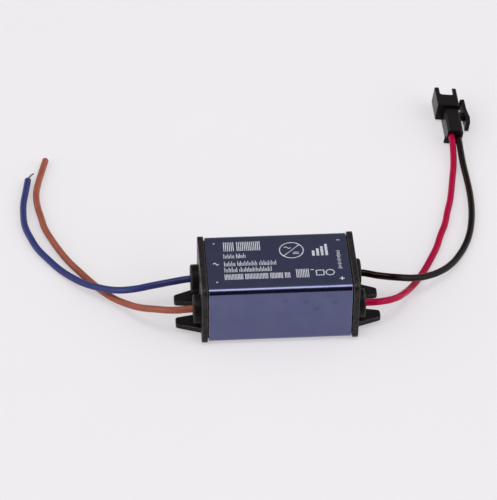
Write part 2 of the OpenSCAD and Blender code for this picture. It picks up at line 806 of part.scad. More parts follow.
// Latch lever beside the rear body: hook in front, thumb pad at the rear
module lever() {
    x0 = rear_w / 2 + lever_gap;
    x1 = x0 + lever_t;
    y1 = rear_l + lever_front;
    y0 = y1 - lever_l;
    pad_l = 2.8;
    pad_out = 0.6;
    hook_l = 1.6;
    hook_in = 0.5;
    arm_l = 1.8;
    arm_h = 2;
    translate([0, 0, (rear_h - lever_h) / 2]) linear_extrude(lever_h)
        polygon([
            [x0 + 0.1, y0], [x1 + pad_out / 2, y0], [x1 + pad_out, y0 + pad_l], [x1, y0 + 2.5 * pad_l],
            [x1 - 0.1, y1], [x0, y1], [x0 - hook_in, y1 - 0.6], [x0, y1 - hook_l],
            [x0, y0 + 2 * pad_l], [x0 + pad_out / 2, y0 + pad_l]
        ]);
    translate([rear_w / 2 - sink, rear_l - sink - arm_l, (rear_h - arm_h) / 2])
        cube([lever_gap + lever_t, arm_l, arm_h]);
}

// One-piece nylon housing: bored rear body, open shroud and latch lever
module connector_housing() {
    mouth_y = rear_l + shroud_l;
    cavity_r = 0.2;
    notch_r = 0.8;
    step_l = 0.6;
    step_d = 0.4;
    color([0.12, 0.12, 0.13]) conn_place() difference() {
        union() {
            translate([0, rear_l + sink, 0]) rotate([90, 0, 0])
                linear_extrude(rear_l + sink) rear_section();
            translate([shroud_x, mouth_y, shroud_h / 2]) rotate([90, 0, 0])
                linear_extrude(shroud_l) rounded_rect(shroud_w, shroud_h, shroud_edge_r);
            rear_lip();
            lever();
        }
        translate([shroud_x, mouth_y + cut_over, shroud_h / 2]) rotate([90, 0, 0])
            linear_extrude(shroud_l - shroud_back + cut_over)
            rounded_rect(shroud_w - 2 * shroud_wall, shroud_h - 2 * shroud_wall, cavity_r);
        translate([shroud_x, mouth_y, shroud_h / 2]) linear_extrude(shroud_h)
            rounded_rect(notch_w, 2 * notch_l, notch_r);
        translate([-rear_w / 2 - cut_over, rear_l - step_l, rear_h - step_d])
            cube([rear_w + 2 * cut_over, step_l, step_d + cut_over]);
        for (s = [-1, 1])
            translate([s * conn_pitch / 2, 0, wire_z]) {
                translate([0, -cut_over, 0]) cylinder_y(rear_l + cut_over, lead_d + 2 * bore_gap);
                cylinder_y(rear_l + shroud_back + cut_over, pin_d + 2 * bore_gap);
            }
    }
}

// Crimped contact: barrel in the rear body, pin in the shroud
module contact(s) {
    crimp_gap = 0.2;
    stop_gap = 0.1;
    barrel_l = rear_l - wire_in - crimp_gap - stop_gap;
    pin_l = shroud_l - pin_setback;
    color([0.8, 0.75, 0.6]) conn_place()
        translate([s * conn_pitch / 2, wire_in + crimp_gap, wire_z]) {
            cylinder_y(barrel_l, barrel_d);
            cylinder_y(barrel_l + stop_gap + pin_l, pin_d);
        }
}

module positive_contact() {
    contact(-1);
}

module negative_contact() {
    contact(1);
}

housing_tube();
input_end_cap();
output_end_cap();
live_bushing();
neutral_bushing();
positive_bushing();
negative_bushing();
circuit_board();
fusible_resistor();
bridge_rectifier();
input_choke();
input_capacitor();
driver_chip();
lower_core();
upper_core();
transformer_bobbin();
transformer_winding();
safety_capacitor();
output_diode();
output_capacitor();
sense_resistor();
live_lead();
neutral_lead();
positive_lead();
negative_lead();
live_strand();
neutral_strand();
connector_housing();
positive_contact();
negative_contact();
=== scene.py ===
# %% [markdown]
# # A small LED driver with four leads
# The real object is a short anodised aluminium tube, closed at both ends by black moulded caps.
# Mains comes in on two leads at the left, and two leads with a latching plug go out at the right.
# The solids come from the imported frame, in metres and in their final place. This script gives them
# eased edges, finishes, real leads and the printed face, and never moves or resizes a solid.

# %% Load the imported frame
import math

import bmesh
import bpy
from mathutils import Matrix, Vector


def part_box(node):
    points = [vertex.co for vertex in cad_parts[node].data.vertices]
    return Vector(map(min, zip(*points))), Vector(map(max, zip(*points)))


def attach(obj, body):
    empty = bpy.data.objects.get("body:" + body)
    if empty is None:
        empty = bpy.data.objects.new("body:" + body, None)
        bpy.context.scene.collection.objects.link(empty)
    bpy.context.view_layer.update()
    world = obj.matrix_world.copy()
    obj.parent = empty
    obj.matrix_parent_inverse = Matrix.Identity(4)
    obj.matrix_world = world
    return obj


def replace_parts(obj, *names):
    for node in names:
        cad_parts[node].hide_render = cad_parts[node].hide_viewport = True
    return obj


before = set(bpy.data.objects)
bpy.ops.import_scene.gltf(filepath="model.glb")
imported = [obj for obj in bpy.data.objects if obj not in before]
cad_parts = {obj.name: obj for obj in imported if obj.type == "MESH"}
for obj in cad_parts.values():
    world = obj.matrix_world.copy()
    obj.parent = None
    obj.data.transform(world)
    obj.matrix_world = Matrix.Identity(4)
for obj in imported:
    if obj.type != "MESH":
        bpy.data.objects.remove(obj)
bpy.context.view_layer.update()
scene = bpy.context.scene
scene.view_settings.view_transform = "Standard"

MM = 0.001
BODY = "root"

# %% [markdown]
# ## Camera
# A product picture is taken with a long lens from well above the table. The camera could be aimed
# with a constraint, but yaw, elevation and roll say more plainly where it stands. A new camera looks
# straight down. The three turns work from right to left: roll it about its line of sight, tip it up
# towards the horizon, and swing it round.

# %% Camera at the picture's viewing angle
AIM_POINT = Vector((-6.03, 28.32, 0.0)) * MM
VIEW_DISTANCE = 842.75 * MM
VIEW_ELEVATION = math.radians(39.88)
VIEW_YAW = math.radians(4.553)
VIEW_ROLL = math.radians(0.863)
LENS_MM = 208.09
CLIP_NEAR, CLIP_FAR = 0.05, 10.0

camera = bpy.data.objects.new("camera", bpy.data.cameras.new("camera"))
camera.data.lens = LENS_MM
camera.data.clip_start = CLIP_NEAR
camera.data.clip_end = CLIP_FAR
camera_turn = (
    Matrix.Rotation(-VIEW_YAW, 4, "Z")
    @ Matrix.Rotation(math.pi / 2 - VIEW_ELEVATION, 4, "X")
    @ Matrix.Rotation(VIEW_ROLL, 4, "Z")
)
camera_place = AIM_POINT + camera_turn @ Vector((0, 0, VIEW_DISTANCE))
camera.matrix_world = Matrix.Translation(camera_place) @ camera_turn
scene.collection.objects.link(camera)
scene.camera = camera
print("camera at mm:", [round(v / MM) for v in camera.matrix_world.translation])

# %% [markdown]
# ## The four leads
# Each lead is a PVC-covered wire that keeps its length whatever way it lies. A Bezier spline with
# automatic handles passes smoothly through listed points. Its round bevel has a radius of
# one, and the radius of each point scales that to the insulation's thickness. The points are the
# ones that the solid leads follow: straight out of the bushing, down to the table, then along it.
# In each pair the rear lead passes over the front one.

# %% Routes of the leads, in millimetres
LEAD_D = 2.0
LEAD_Y, LEAD_Z = 6.5, 8.4
EXIT_X = 24.2
HIDDEN_X = 22.4
PLUG_IN = {
    "positive": ((59.148, 72.3, 3.017), (59.148, 77.5, 3.017)),
    "negative": ((61.232, 72.3, 2.761), (61.232, 77.5, 2.761)),
}
ROUTES = {
    "live": [
        (-29.5, -6.3, 8), (-34.5, -4.2, 6.8), (-39, -1, 4.9), (-42.4, 2.8, 3.1), (-45.9, 6.8, 1.8),
        (-49.4, 11.2, 1.2), (-52.4, 15.5, 1), (-55.4, 20, 1), (-58.5, 24.9, 1), (-61, 29.9, 1),
        (-63.1, 34.8, 1), (-65.1, 40.3, 1), (-66.1, 45.3, 1), (-67.1, 50.9, 1), (-67.4, 56.4, 1),
        (-66.7, 61.8, 1), (-65.6, 67.2, 1), (-64.4, 72.6, 1),
    ],
    "neutral": [
        (-29.5, 5.6, 8.3), (-35, 5, 7.7), (-40.5, 5, 6.6), (-45.5, 6.5, 5.2), (-50.1, 9.5, 3.8),
        (-54.1, 13, 2.5), (-57.7, 17.1, 1.5), (-61.2, 21.5, 1), (-64.3, 26, 1), (-67.3, 31, 1),
        (-69.3, 36.1, 1), (-70.9, 41.7, 1), (-71.3, 46.8, 1), (-71.2, 52.4, 1), (-70.5, 57.9, 1),
        (-69.8, 63.3, 1),
    ],
    "positive": [
        (29.4, -5.8, 8.05), (33.4, -2.8, 6.4), (36.4, 1.65, 4.2), (38.9, 6.1, 2.3), (41.6, 10.9, 1.2),
        (44.2, 15.6, 1), (46.7, 20.7, 1), (48.7, 25.2, 1), (50.6, 30.8, 1), (52.5, 35.9, 1),
        (53.9, 41.4, 1), (55.4, 46.9, 1), (56.4, 51.9, 1), (57.4, 57.4, 1), (58.4, 63, 1.2),
        (59, 68.5, 2), *PLUG_IN["positive"],
    ],
    "negative": [
        (29.5, 4.9, 8.4), (35, 4.5, 7.8), (40, 5.8, 6.3), (44.5, 8.6, 4.6), (48.5, 12.1, 3.2),
        (52, 16.4, 2), (54.7, 20.8, 1.3), (57.2, 25.7, 1), (59.1, 30.8, 1), (60.4, 36.4, 1),
        (61.2, 41.9, 1), (61.6, 47.3, 1), (61.7, 52.8, 1), (61.6, 58.3, 1), (61.4, 63.9, 1.3),
        (61.3, 68.9, 2), *PLUG_IN["negative"],
    ],
}
SIDE_X = {"live": -1, "neutral": -1, "positive": 1, "negative": 1}
SIDE_Y = {"live": -1, "neutral": 1, "positive": -1, "negative": 1}
print("points on each lead:", {lead: len(route) for lead, route in ROUTES.items()})

# %% Leads as round wires
LEAD_STEPS, LEAD_ROUND = 8, 5


def wire_curve(name, points_mm, diameter_mm, steps=LEAD_STEPS):
    """A round wire through the given points, as one open Bezier spline with closed ends."""
    data = bpy.data.curves.new(name, "CURVE")
    data.dimensions = "3D"
    data.resolution_u = steps
    data.bevel_depth = 1.0
    data.bevel_resolution = LEAD_ROUND
    data.use_fill_caps = True
    spline = data.splines.new("BEZIER")
    spline.bezier_points.add(len(points_mm) - 1)
    for point, place in zip(spline.bezier_points, points_mm):
        point.co = Vector(place) * MM
        point.radius = diameter_mm / 2 * MM
        point.handle_left_type = "AUTO"
        point.handle_right_type = "AUTO"
    piece = bpy.data.objects.new(name, data)
    scene.collection.objects.link(piece)
    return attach(piece, BODY)


cords = {}
exits = {}
for lead, route in ROUTES.items():
    side_x, side_y = SIDE_X[lead], SIDE_Y[lead]
    exits[lead] = (side_x * EXIT_X, side_y * LEAD_Y, LEAD_Z)
    start = (side_x * HIDDEN_X, side_y * LEAD_Y, LEAD_Z)
    cords[lead] = wire_curve(f"{lead}_cord", [start, exits[lead], *route], LEAD_D)
    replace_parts(cords[lead], f"{lead}_lead")
print("leads:", list(cords))

# %% [markdown]
# ## Wire tails inside the case
# Behind its bushing every lead dips to a pad on the board and is soldered there. The tails aren't
# part of the free leads, so each one is a short wire of its own. The solder is one mesh: a ball for
# each pad, pressed flat and cut off at the board's top face.

# %% Tails
PAD_X, TURN_X = 14.8, 18.4
TURN_BEFORE, TURN_AFTER, TURN_DROP = 1.2, 0.6, 0.5
LAND_LENGTH, LAND_LIFT = 1.0, 0.1
TAIL_STEPS = 5
BOARD_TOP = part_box("circuit_board")[1].z / MM

tails = {}
for lead in ROUTES:
    side_x, y = SIDE_X[lead], SIDE_Y[lead] * LEAD_Y
    on_board = BOARD_TOP + LEAD_D / 2
    bend = [
        (side_x * HIDDEN_X, y, LEAD_Z),
        (side_x * (TURN_X + TURN_BEFORE), y, LEAD_Z),
        (side_x * (TURN_X - TURN_AFTER), y, LEAD_Z - TURN_DROP),
        (side_x * (PAD_X + LAND_LENGTH), y, on_board + LAND_LIFT),
        (side_x * PAD_X, y, on_board),
    ]
    tails[lead] = wire_curve(f"{lead}_tail", bend, LEAD_D, steps=TAIL_STEPS)
print("tails:", len(tails))

# %% Solder
SOLDER_R, SOLDER_FLAT, SOLDER_IN = 1.35, 0.75, 0.9
BALL_SEGMENTS, BALL_RINGS = 24, 12
SNAP = 0.002 * MM


def mesh_piece(name, bm):
    """Turns a bmesh into a piece on the body, at the origin, and frees the bmesh."""
    data = bpy.data.meshes.new(name)
    bm.to_mesh(data)
    bm.free()
    piece = bpy.data.objects.new(name, data)
    scene.collection.objects.link(piece)
    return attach(piece, BODY)


solder = bmesh.new()
for lead in ROUTES:
    pad = Vector((SIDE_X[lead] * (PAD_X - SOLDER_IN), SIDE_Y[lead] * LEAD_Y, BOARD_TOP)) * MM
    bmesh.ops.create_uvsphere(
        solder, u_segments=BALL_SEGMENTS, v_segments=BALL_RINGS, radius=SOLDER_R * MM,
        matrix=Matrix.Translation(pad) @ Matrix.Diagonal((1, 1, SOLDER_FLAT, 1)),
    )
bmesh.ops.bisect_plane(
    solder, geom=[*solder.verts, *solder.edges, *solder.faces],
    dist=SNAP, plane_co=(0, 0, BOARD_TOP * MM), plane_no=(0, 0, 1), clear_inner=True,
)
bmesh.ops.remove_doubles(solder, verts=solder.verts, dist=SNAP)
bmesh.ops.holes_fill(solder, edges=[e for e in solder.edges if e.is_boundary])
for face in solder.faces:
    face.smooth = True
solder_joints = mesh_piece("solder_joints", solder)
print("solder faces:", len(solder_joints.data.polygons))

# %% [markdown]
# ## Bare strands
# A stripped end shows a bundle of fine tinned wires with a slight twist. Each wire is a spline whose
# points wind round the bundle's middle line. The blue lead's bundle leans over to its right, as thin
# wires do once they have been handled, and the brown lead is cut nearly flush.

# %% Twisted filaments
FILAMENT_D, FILAMENT_ROUND, FILAMENT_POINTS = 0.2, 2, 14
AROUND_MIDDLE = 6
BUNDLE_R, BUNDLE_TAPER = 0.21, 0.25
TWIST = math.radians(150)
NEUTRAL_BARE, NEUTRAL_LEAN = 3.2, 1.3
LIVE_BARE, LIVE_LEAN = 1.0, 0.0


def filaments(name, lead, length, lean, node):
    """Fine wires wound about a middle line that leans sideways along its length."""
    data = bpy.data.curves.new(name, "CURVE")
    data.dimensions = "3D"
    data.bevel_depth = 1.0
    data.bevel_resolution = FILAMENT_ROUND
    data.use_fill_caps = True
    base, before = Vector(ROUTES[lead][-1]), Vector(ROUTES[lead][-2])
    along = (base - before).normalized()
    upward = Vector((0, 0, 1))
    aside = along.cross(upward)
    for number in range(AROUND_MIDDLE + 1):
        spline = data.splines.new("POLY")
        spline.points.add(FILAMENT_POINTS - 1)
        for step, point in enumerate(spline.points):
            part = step / (FILAMENT_POINTS - 1)
            angle = number * math.tau / AROUND_MIDDLE + TWIST * part
            off = 0 if number == AROUND_MIDDLE else BUNDLE_R * (1 - BUNDLE_TAPER * part)
            middle = base + along * (length * part) + aside * (lean * part * part)
            place = middle + (aside * math.cos(angle) + upward * math.sin(angle)) * off
            point.co = (*(place * MM), 1)
            point.radius = FILAMENT_D / 2 * MM
    piece = bpy.data.objects.new(name, data)
    scene.collection.objects.link(piece)
    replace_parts(piece, node)
    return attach(piece, BODY)


neutral_bundle = filaments("neutral_filaments", "neutral", NEUTRAL_BARE, NEUTRAL_LEAN, "neutral_strand")
live_bundle = filaments("live_filaments", "live", LIVE_BARE, LIVE_LEAN, "live_strand")
print("strands:", neutral_bundle.name, live_bundle.name)

# %% [markdown]
# ## Copies of the solids with eased edges
# Moulded and extruded parts never have knife edges: a small round catches the light. A solid's mesh
# comes as loose triangles, so a copy is merged, its flat areas are joined into whole faces, and the
# outer edges are bevelled. Each corner of the new faces is marked, so that a finish can show wear
# there, and on some parts a painted glint.
# The Weighted Normal modifier keeps the large flats flat in the shading.

# %% Merge a solid's triangles and find its corners
FLAT_ANGLE = math.radians(0.4)
CORNER = math.radians(40)


def merged(node):
    """A bmesh of a solid with its loose triangles joined into whole flat faces."""
    bm = bmesh.new()
    bm.from_mesh(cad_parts[node].data)
    for layer in list(bm.loops.layers.uv):
        bm.loops.layers.uv.remove(layer)
    bmesh.ops.remove_doubles(bm, verts=bm.verts, dist=SNAP)
    bmesh.ops.dissolve_limit(bm, angle_limit=FLAT_ANGLE, verts=bm.verts, edges=bm.edges)
    return bm


def corner_edges(bm):
    """The sharp edges that stick out, not those that lie in a corner."""
    return [
        e for e in bm.edges
        if len(e.link_faces) == 2 and e.is_convex and e.calc_face_angle() > CORNER
    ]


print("edges sharper than", round(math.degrees(CORNER)), "degrees are eased")

# %% Ease the corners and finish a copy
CREASE = math.radians(32)
EASE_STEPS = 3
EASED_MARK = "eased_edge"


def shade(bm):
    """Smooth shading that breaks at real creases."""
    bm.normal_update()
    for face in bm.faces:
        face.smooth = True
    for edge in bm.edges:
        edge.smooth = len(edge.link_faces) == 2 and edge.calc_face_angle() < CREASE


def ease(bm, edges, radius_mm, segments=EASE_STEPS):
    """Rounds over the given edges and marks the new faces for edge wear and painted glints."""
    edge_mark = bm.loops.layers.float.get(EASED_MARK) or bm.loops.layers.float.new(EASED_MARK)
    made = bmesh.ops.bevel(
        bm, geom=edges, offset=radius_mm * MM, offset_type="OFFSET", segments=segments, profile=0.5,
        affect="EDGES", clamp_overlap=True, material=-1,
    )
    for face in made["faces"]:
        for loop in face.loops:
            loop[edge_mark] = 1.0


def eased_piece(name, bm, node):
    """Finishes an eased bmesh as the piece that stands for a solid."""
    shade(bm)
    piece = mesh_piece(name, bm)
    modifier = piece.modifiers.new("flat faces stay flat", "WEIGHTED_NORMAL")
    modifier.keep_sharp = True
    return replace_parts(piece, node)


print("shading breaks at", round(math.degrees(CREASE)), "degrees")

# %% [markdown]
# ## Tube
# The tube is sawn from an extrusion, so its long edges already have the die's radius and only its
# two sawn ends are deburred. A bevel on every edge would blur the profile, so the sawn edges are
# picked by where they lie.

# %% Tube with deburred ends
DEBURR, DEBURR_STEPS = 0.12, 2
SAWN_MATCH = 0.01
tube_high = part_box("housing_tube")[1]
tube_mesh = merged("housing_tube")
sawn = [
    e for e in corner_edges(tube_mesh)
    if all(abs(abs(v.co.x) - tube_high.x) < SAWN_MATCH * MM for v in e.verts)
]
ease(tube_mesh, sawn, DEBURR, segments=DEBURR_STEPS)
tube = eased_piece("anodised_tube", tube_mesh, "housing_tube")
print("sawn edges:", len(sawn), "tube faces:", len(tube.data.polygons))

# %% [markdown]
# ## End caps
# Each cap is one moulding: a plate with two ears, a thin collar that leaves a shadow gap beside the
# tube, and two tongues that slide into it. The rim and the ears are eased, because fingers and light
# reach them. Edges in the gap, in the tube or behind a bushing's flange stay sharp, so that the
# pieces still meet.

# %% End caps with rounded rims and ears
CAP_EASE = 0.18
COLLAR_CLEAR = 0.25
FLANGE_R, FLANGE_COVER = 4.1, 0.6


def outside_cap(edge):
    """True for an edge of the plate's rim or of an ear that no bushing covers."""
    for v in edge.verts:
        near = min(math.hypot(v.co.y - s * LEAD_Y * MM, v.co.z - LEAD_Z * MM) for s in (-1, 1))
        if abs(v.co.x) < tube_high.x + COLLAR_CLEAR * MM or near < (FLANGE_R - FLANGE_COVER) * MM:
            return False
    return True


caps = {}
for end in ("input", "output"):
    cap_mesh = merged(f"{end}_end_cap")
    rim = [e for e in corner_edges(cap_mesh) if outside_cap(e)]
    ease(cap_mesh, rim, CAP_EASE)
    caps[end] = eased_piece(f"{end}_cap", cap_mesh, f"{end}_end_cap")
    print(end, "cap: eased edges", len(rim), "faces", len(caps[end].data.polygons))

# %% [markdown]
# ## Bushings
# A rubber bushing is a body of revolution, like something from a lathe: one profile, spun all round
# the lead. The groove grips the plate, the thick flange shows outside, and its lips are rounded.

# %% Sizes and rings of a bushing
NECK_R, INNER_R, BORE_R = 2.8, 3.5, 1.02
INNER_T, NECK_L, FLANGE_T = 1.2, 2.0, 2.2
LIP_ROUND, LIP_STEPS = 0.5, 4
BORE_ROUND, BORE_STEPS = 0.22, 2
BUSH_STEPS = 56
RING_MATCH = 0.001


def ring_edges(bm, x, r):
    """The edges of a spun ring at a place along the axis and a radius, in millimetres."""
    return [
        e for e in bm.edges
        if all(
            abs(v.co.x - x * MM) < RING_MATCH * MM and abs(v.co.yz.length - r * MM) < RING_MATCH * MM
            for v in e.verts
        )
    ]


print("bushing length in mm:", round(INNER_T + NECK_L + FLANGE_T, 2))

# %% Spun bushings
def bushing(lead):
    """One bushing, spun about its lead's axis and set at the tube's end."""
    bm = bmesh.new()
    face_x = NECK_L + FLANGE_T
    profile = [
        (-INNER_T, BORE_R), (-INNER_T, INNER_R), (0, INNER_R), (0, NECK_R), (NECK_L, NECK_R),
        (NECK_L, FLANGE_R), (face_x, FLANGE_R), (face_x, BORE_R),
    ]
    verts = [bm.verts.new((x * MM, 0, r * MM)) for x, r in profile]
    edges = [bm.edges.new((a, b)) for a, b in zip(verts, verts[1:] + verts[:1])]
    bmesh.ops.spin(
        bm, geom=[*verts, *edges], cent=(0, 0, 0), axis=(1, 0, 0), dvec=(0, 0, 0),
        angle=math.tau, steps=BUSH_STEPS, use_merge=True,
    )
    bmesh.ops.remove_doubles(bm, verts=bm.verts, dist=SNAP)
    bmesh.ops.recalc_face_normals(bm, faces=bm.faces)
    ease(bm, ring_edges(bm, face_x, FLANGE_R), LIP_ROUND, segments=LIP_STEPS)
    ease(bm, ring_edges(bm, face_x, BORE_R), BORE_ROUND, segments=BORE_STEPS)
    side_x, side_y = SIDE_X[lead], SIDE_Y[lead]
    bmesh.ops.scale(bm, vec=(side_x, 1, 1), verts=bm.verts)
    if side_x < 0:
        bmesh.ops.reverse_faces(bm, faces=bm.faces)
    bmesh.ops.translate(
        bm, vec=(side_x * tube_high.x, side_y * LEAD_Y * MM, LEAD_Z * MM), verts=bm.verts
    )
    return eased_piece(f"{lead}_bush", bm, f"{lead}_bushing")


bushes = {lead: bushing(lead) for lead in ROUTES}
print("bushings:", [(n, len(b.data.polygons)) for n, b in bushes.items()])

# %% [markdown]
# ## Plug on the output leads
# The plug is moulded in one go: rear body, open shroud and latch lever. Its solid already has these
# forms, so its copy only needs slightly rounder edges. The two contacts stay as they are.

# %% Plug with eased edges
PLUG_EASE, PLUG_STEPS = 0.12, 2
SHORT_EDGE = 0.25
plug_mesh = merged("connector_housing")
plug_edges = [e for e in corner_edges(plug_mesh) if e.calc_length() > SHORT_EDGE * MM]
ease(plug_mesh, plug_edges, PLUG_EASE, segments=PLUG_STEPS)
plug = eased_piece("output_plug", plug_mesh, "connector_housing")
print("plug edges eased:", len(plug_edges), "faces:", len(plug.data.polygons))

# %% [markdown]
# ## What the leads are
# Both output leads end in the same plug.

# %% [markdown]
# ## Printed face
# The top carries a plain print in pale ink. Nothing on it can be read: lines of print are rows of
# upright strokes in word groups, and the marks are a converter sign, level bars, a square and a
# ring, with a wave at the mains side and plus and minus at the output side. Each stroke is a thin
# slab that stands a hair above the tube, so the ink has an edge of its own. Strokes meet with a
# hair's gap and never lie over each other, because two faces in one place flicker in a render.

# %% Strokes of ink
INK_SINK, INK_RISE = 0.01, 0.015
INK_LOW = tube_high.z - INK_SINK * MM
INK_TOP = tube_high.z + INK_RISE * MM
HAIR = 0.01
WAVE_STEPS, RING_STEPS = 16, 40
print_mesh = bmesh.new()


def slab(x, y, wide, high, turn=0.0):
    """One flat stroke of ink, in millimetres on the top face."""
    place = Matrix.Translation((x * MM, y * MM, (INK_LOW + INK_TOP) / 2)) @ Matrix.Rotation(turn, 4, "Z")
    size = Matrix.Diagonal((wide * MM, high * MM, INK_TOP - INK_LOW, 1))
    bmesh.ops.create_cube(print_mesh, size=1, matrix=place @ size)


def ink_ring(x, y, radius, stroke):
    """A round outline: a small section spun all round its middle."""
    inner, outer = radius - stroke / 2, radius + stroke / 2
    section = ((inner, INK_LOW), (outer, INK_LOW), (outer, INK_TOP), (inner, INK_TOP))
    verts = [print_mesh.verts.new(((x + r) * MM, y * MM, z)) for r, z in section]
    edges = [print_mesh.edges.new((a, b)) for a, b in zip(verts, verts[1:] + verts[:1])]
    bmesh.ops.spin(
        print_mesh, geom=[*verts, *edges], cent=(x * MM, y * MM, 0), axis=(0, 0, 1), dvec=(0, 0, 0),
        angle=math.tau, steps=RING_STEPS, use_merge=True,
    )


def ink_wave(x, y, wide, high, stroke):
    """A mains sign: a flat strip bent into one wave, then raised to the ink's thickness."""
    strip = bmesh.ops.create_grid(print_mesh, x_segments=WAVE_STEPS, y_segments=1, size=0.5)["verts"]
    for v in strip:
        angle = math.tau * (v.co.x + 0.5)
        slope = math.atan2(high * math.pi * math.cos(angle), wide)
        across = v.co.y * stroke
        place_x = x + v.co.x * wide - across * math.sin(slope)
        place_y = y + high / 2 * math.sin(angle) + across * math.cos(slope)
        v.co = (place_x * MM, place_y * MM, INK_LOW)
    flat = {face for v in strip for face in v.link_faces}
    made = bmesh.ops.extrude_face_region(print_mesh, geom=list(flat))["geom"]
    risen = [v for v in made if isinstance(v, bmesh.types.BMVert)]
    bmesh.ops.translate(print_mesh, vec=(0, 0, INK_TOP - INK_LOW), verts=risen)


print("ink stands", INK_RISE, "mm proud of the tube")

# %% Lines of print
CYCLE, TALL_ONES = 5, (0, 3)
EVEN, UNEVEN = 1.0, 0.66
# left end, foot, strokes in each word, pitch, stroke, height, share of it that a low stroke has
PRINT_LINES = (
    (-14.9, 4.9, (6, 13), 0.53, 0.25, 3.9, EVEN),
    (-15.1, 1.8, (8, 7), 0.4, 0.2, 1.9, UNEVEN),
    (-15.1, -1.6, (8, 14, 12), 0.41, 0.2, 2.0, UNEVEN),
    (-15.2, -4.2, (9, 22), 0.42, 0.2, 2.0, UNEVEN),
    (-15.3, -7.4, (13, 16, 9, 4), 0.41, 0.24, 2.3, EVEN),
    (4.7, -7.5, (8,), 0.47, 0.26, 3.6, EVEN),
)
for left, foot, words, pitch, stroke, high, low_share in PRINT_LINES:
    x = left
    number = 0
    for word in words:
        for _ in range(word):
            tall = high if number % CYCLE in TALL_ONES else high * low_share
            slab(x + stroke / 2, foot + tall / 2, stroke, tall)
            x += pitch
            number += 1
        x += pitch
print("lines of print:", len(PRINT_LINES))

# %% Sign, rings, waves and dashes
SIGN_X, SIGN_Y, SIGN_R, SIGN_STROKE = 4.15, 4.4, 3.35, 0.3
SLASH_STROKE, SLASH_TURN = 0.24, math.radians(45)
# middle, radius and stroke
RINGS = (
    (SIGN_X, SIGN_Y, SIGN_R, SIGN_STROKE), (14.2, -5.7, 1.15, 0.32),
    (-17.5, 8.4, 0.17, 0.22), (-17.5, -8.3, 0.17, 0.22),
)
# middle, width, height and stroke
WAVES = ((SIGN_X - 1.1, SIGN_Y + 1.2, 1.9, 0.7, 0.26), (-17.4, -0.5, 1.5, 0.9, 0.3))
# middle, width and height: two bars of the sign, a dash and the minus
DASHES = (
    (SIGN_X + 1.2, SIGN_Y - 1.5, 1.7, 0.26), (SIGN_X + 1.2, SIGN_Y - 0.9, 1.7, 0.26),
    (9.3, -4.3, 1.0, 0.3), (17.6, 8.2, 0.9, 0.3),
)
for ring in RINGS:
    ink_ring(*ring)
for wave in WAVES:
    ink_wave(*wave)
for dash in DASHES:
    slab(*dash)
slab(SIGN_X, SIGN_Y, 2 * (SIGN_R - SIGN_STROKE / 2 - HAIR), SLASH_STROKE, SLASH_TURN)
print("rings:", len(RINGS), "waves:", len(WAVES), "dashes:", len(DASHES))

# %% Level bars, ticks, square and plus
LEVEL_X, LEVEL_FOOT, LEVEL_PITCH, LEVEL_WIDE = 10.2, 1.7, 1.25, 0.75
LEVEL_HEIGHTS = (2.2, 3.1, 4.0, 4.9)
TICK_X, TICK_Y, TICK_PITCH, TICK_STROKE, TICK_COUNT = 17.2, 3.4, 0.62, 0.26, 13
TICK_SHORT, TICK_LONG, LONG_EVERY = 0.75, 1.1, 3
SQUARE_X, SQUARE_Y, SQUARE_SIDE, SQUARE_STROKE = 11.4, -5.7, 2.4, 0.3
PLUS_X, PLUS_Y, PLUS_SPAN, PLUS_STROKE = 17.3, -8.5, 1.4, 0.35

for number, tall in enumerate(LEVEL_HEIGHTS):
    slab(LEVEL_X + LEVEL_PITCH * number, LEVEL_FOOT + tall / 2, LEVEL_WIDE, tall)
for number in range(TICK_COUNT):
    tick = TICK_SHORT if number % LONG_EVERY else TICK_LONG
    slab(TICK_X, TICK_Y - TICK_PITCH * number, tick, TICK_STROKE)
side_length = SQUARE_SIDE - SQUARE_STROKE
for number in range(4):
    turn = number * math.pi / 2
    middle = Matrix.Rotation(turn, 2) @ Vector((SQUARE_STROKE / 2, side_length / 2))
    slab(SQUARE_X + middle.x, SQUARE_Y + middle.y, side_length - 2 * HAIR, SQUARE_STROKE, turn)
slab(PLUS_X, PLUS_Y, PLUS_SPAN, PLUS_STROKE)
arm = (PLUS_SPAN - PLUS_STROKE) / 2 - HAIR
for side in (-1, 1):
    slab(PLUS_X, PLUS_Y + side * (PLUS_SPAN - arm) / 2, PLUS_STROKE, arm)

bmesh.ops.recalc_face_normals(print_mesh, faces=print_mesh.faces)
label_print = mesh_piece("label_print", print_mesh)
print("ink faces:", len(label_print.data.polygons))

# %% [markdown]
# ## Finishes: helpers and shared effects
# Three effects come back in many finishes, so each is a shader group with named sockets, built once:
# a fine grain with its roughness, a mottle between two tones, and a lighter tone on the marked edges,
# which is wear and on some parts also a painted glint. Sizes are given in millimetres. A further group
# tells the bare legs of a part from its body by height.

# %% Node helpers
# A Mix node lists number, vector and colour sockets one after another; these are its colour ones.
MIX_SHARE, MIX_FIRST, MIX_SECOND, MIX_RESULT = 0, 6, 7, 2


def add(tree, kind, values=None, **settings):
    """A new node with its settings and socket values."""
    node = tree.nodes.new(kind)
    for name, value in settings.items():
        setattr(node, name, value)
    for name, value in (values or {}).items():
        node.inputs[name].default_value = value
    return node


def feed(tree, socket, source):
    """Links a socket to another one, or gives it a plain colour or number."""
    if isinstance(source, bpy.types.NodeSocket):
        tree.links.new(source, socket)
    elif isinstance(source, tuple):
        socket.default_value = (*source, 1.0)
    else:
        socket.default_value = source


def maths(tree, operation, *sources):
    """One step of arithmetic on sockets or plain numbers."""
    node = add(tree, "ShaderNodeMath", operation=operation)
    for socket, source in zip(node.inputs, sources):
        feed(tree, socket, source)
    return node.outputs[0]


def spread(tree, value, low, high, to_low=0.0, to_high=1.0, kind="LINEAR"):
    """Maps a value from one range to another, and holds it there."""
    node = add(tree, "ShaderNodeMapRange", interpolation_type=kind)
    for socket, source in zip(node.inputs, (value, low, high, to_low, to_high)):
        feed(tree, socket, source)
    return node.outputs[0]


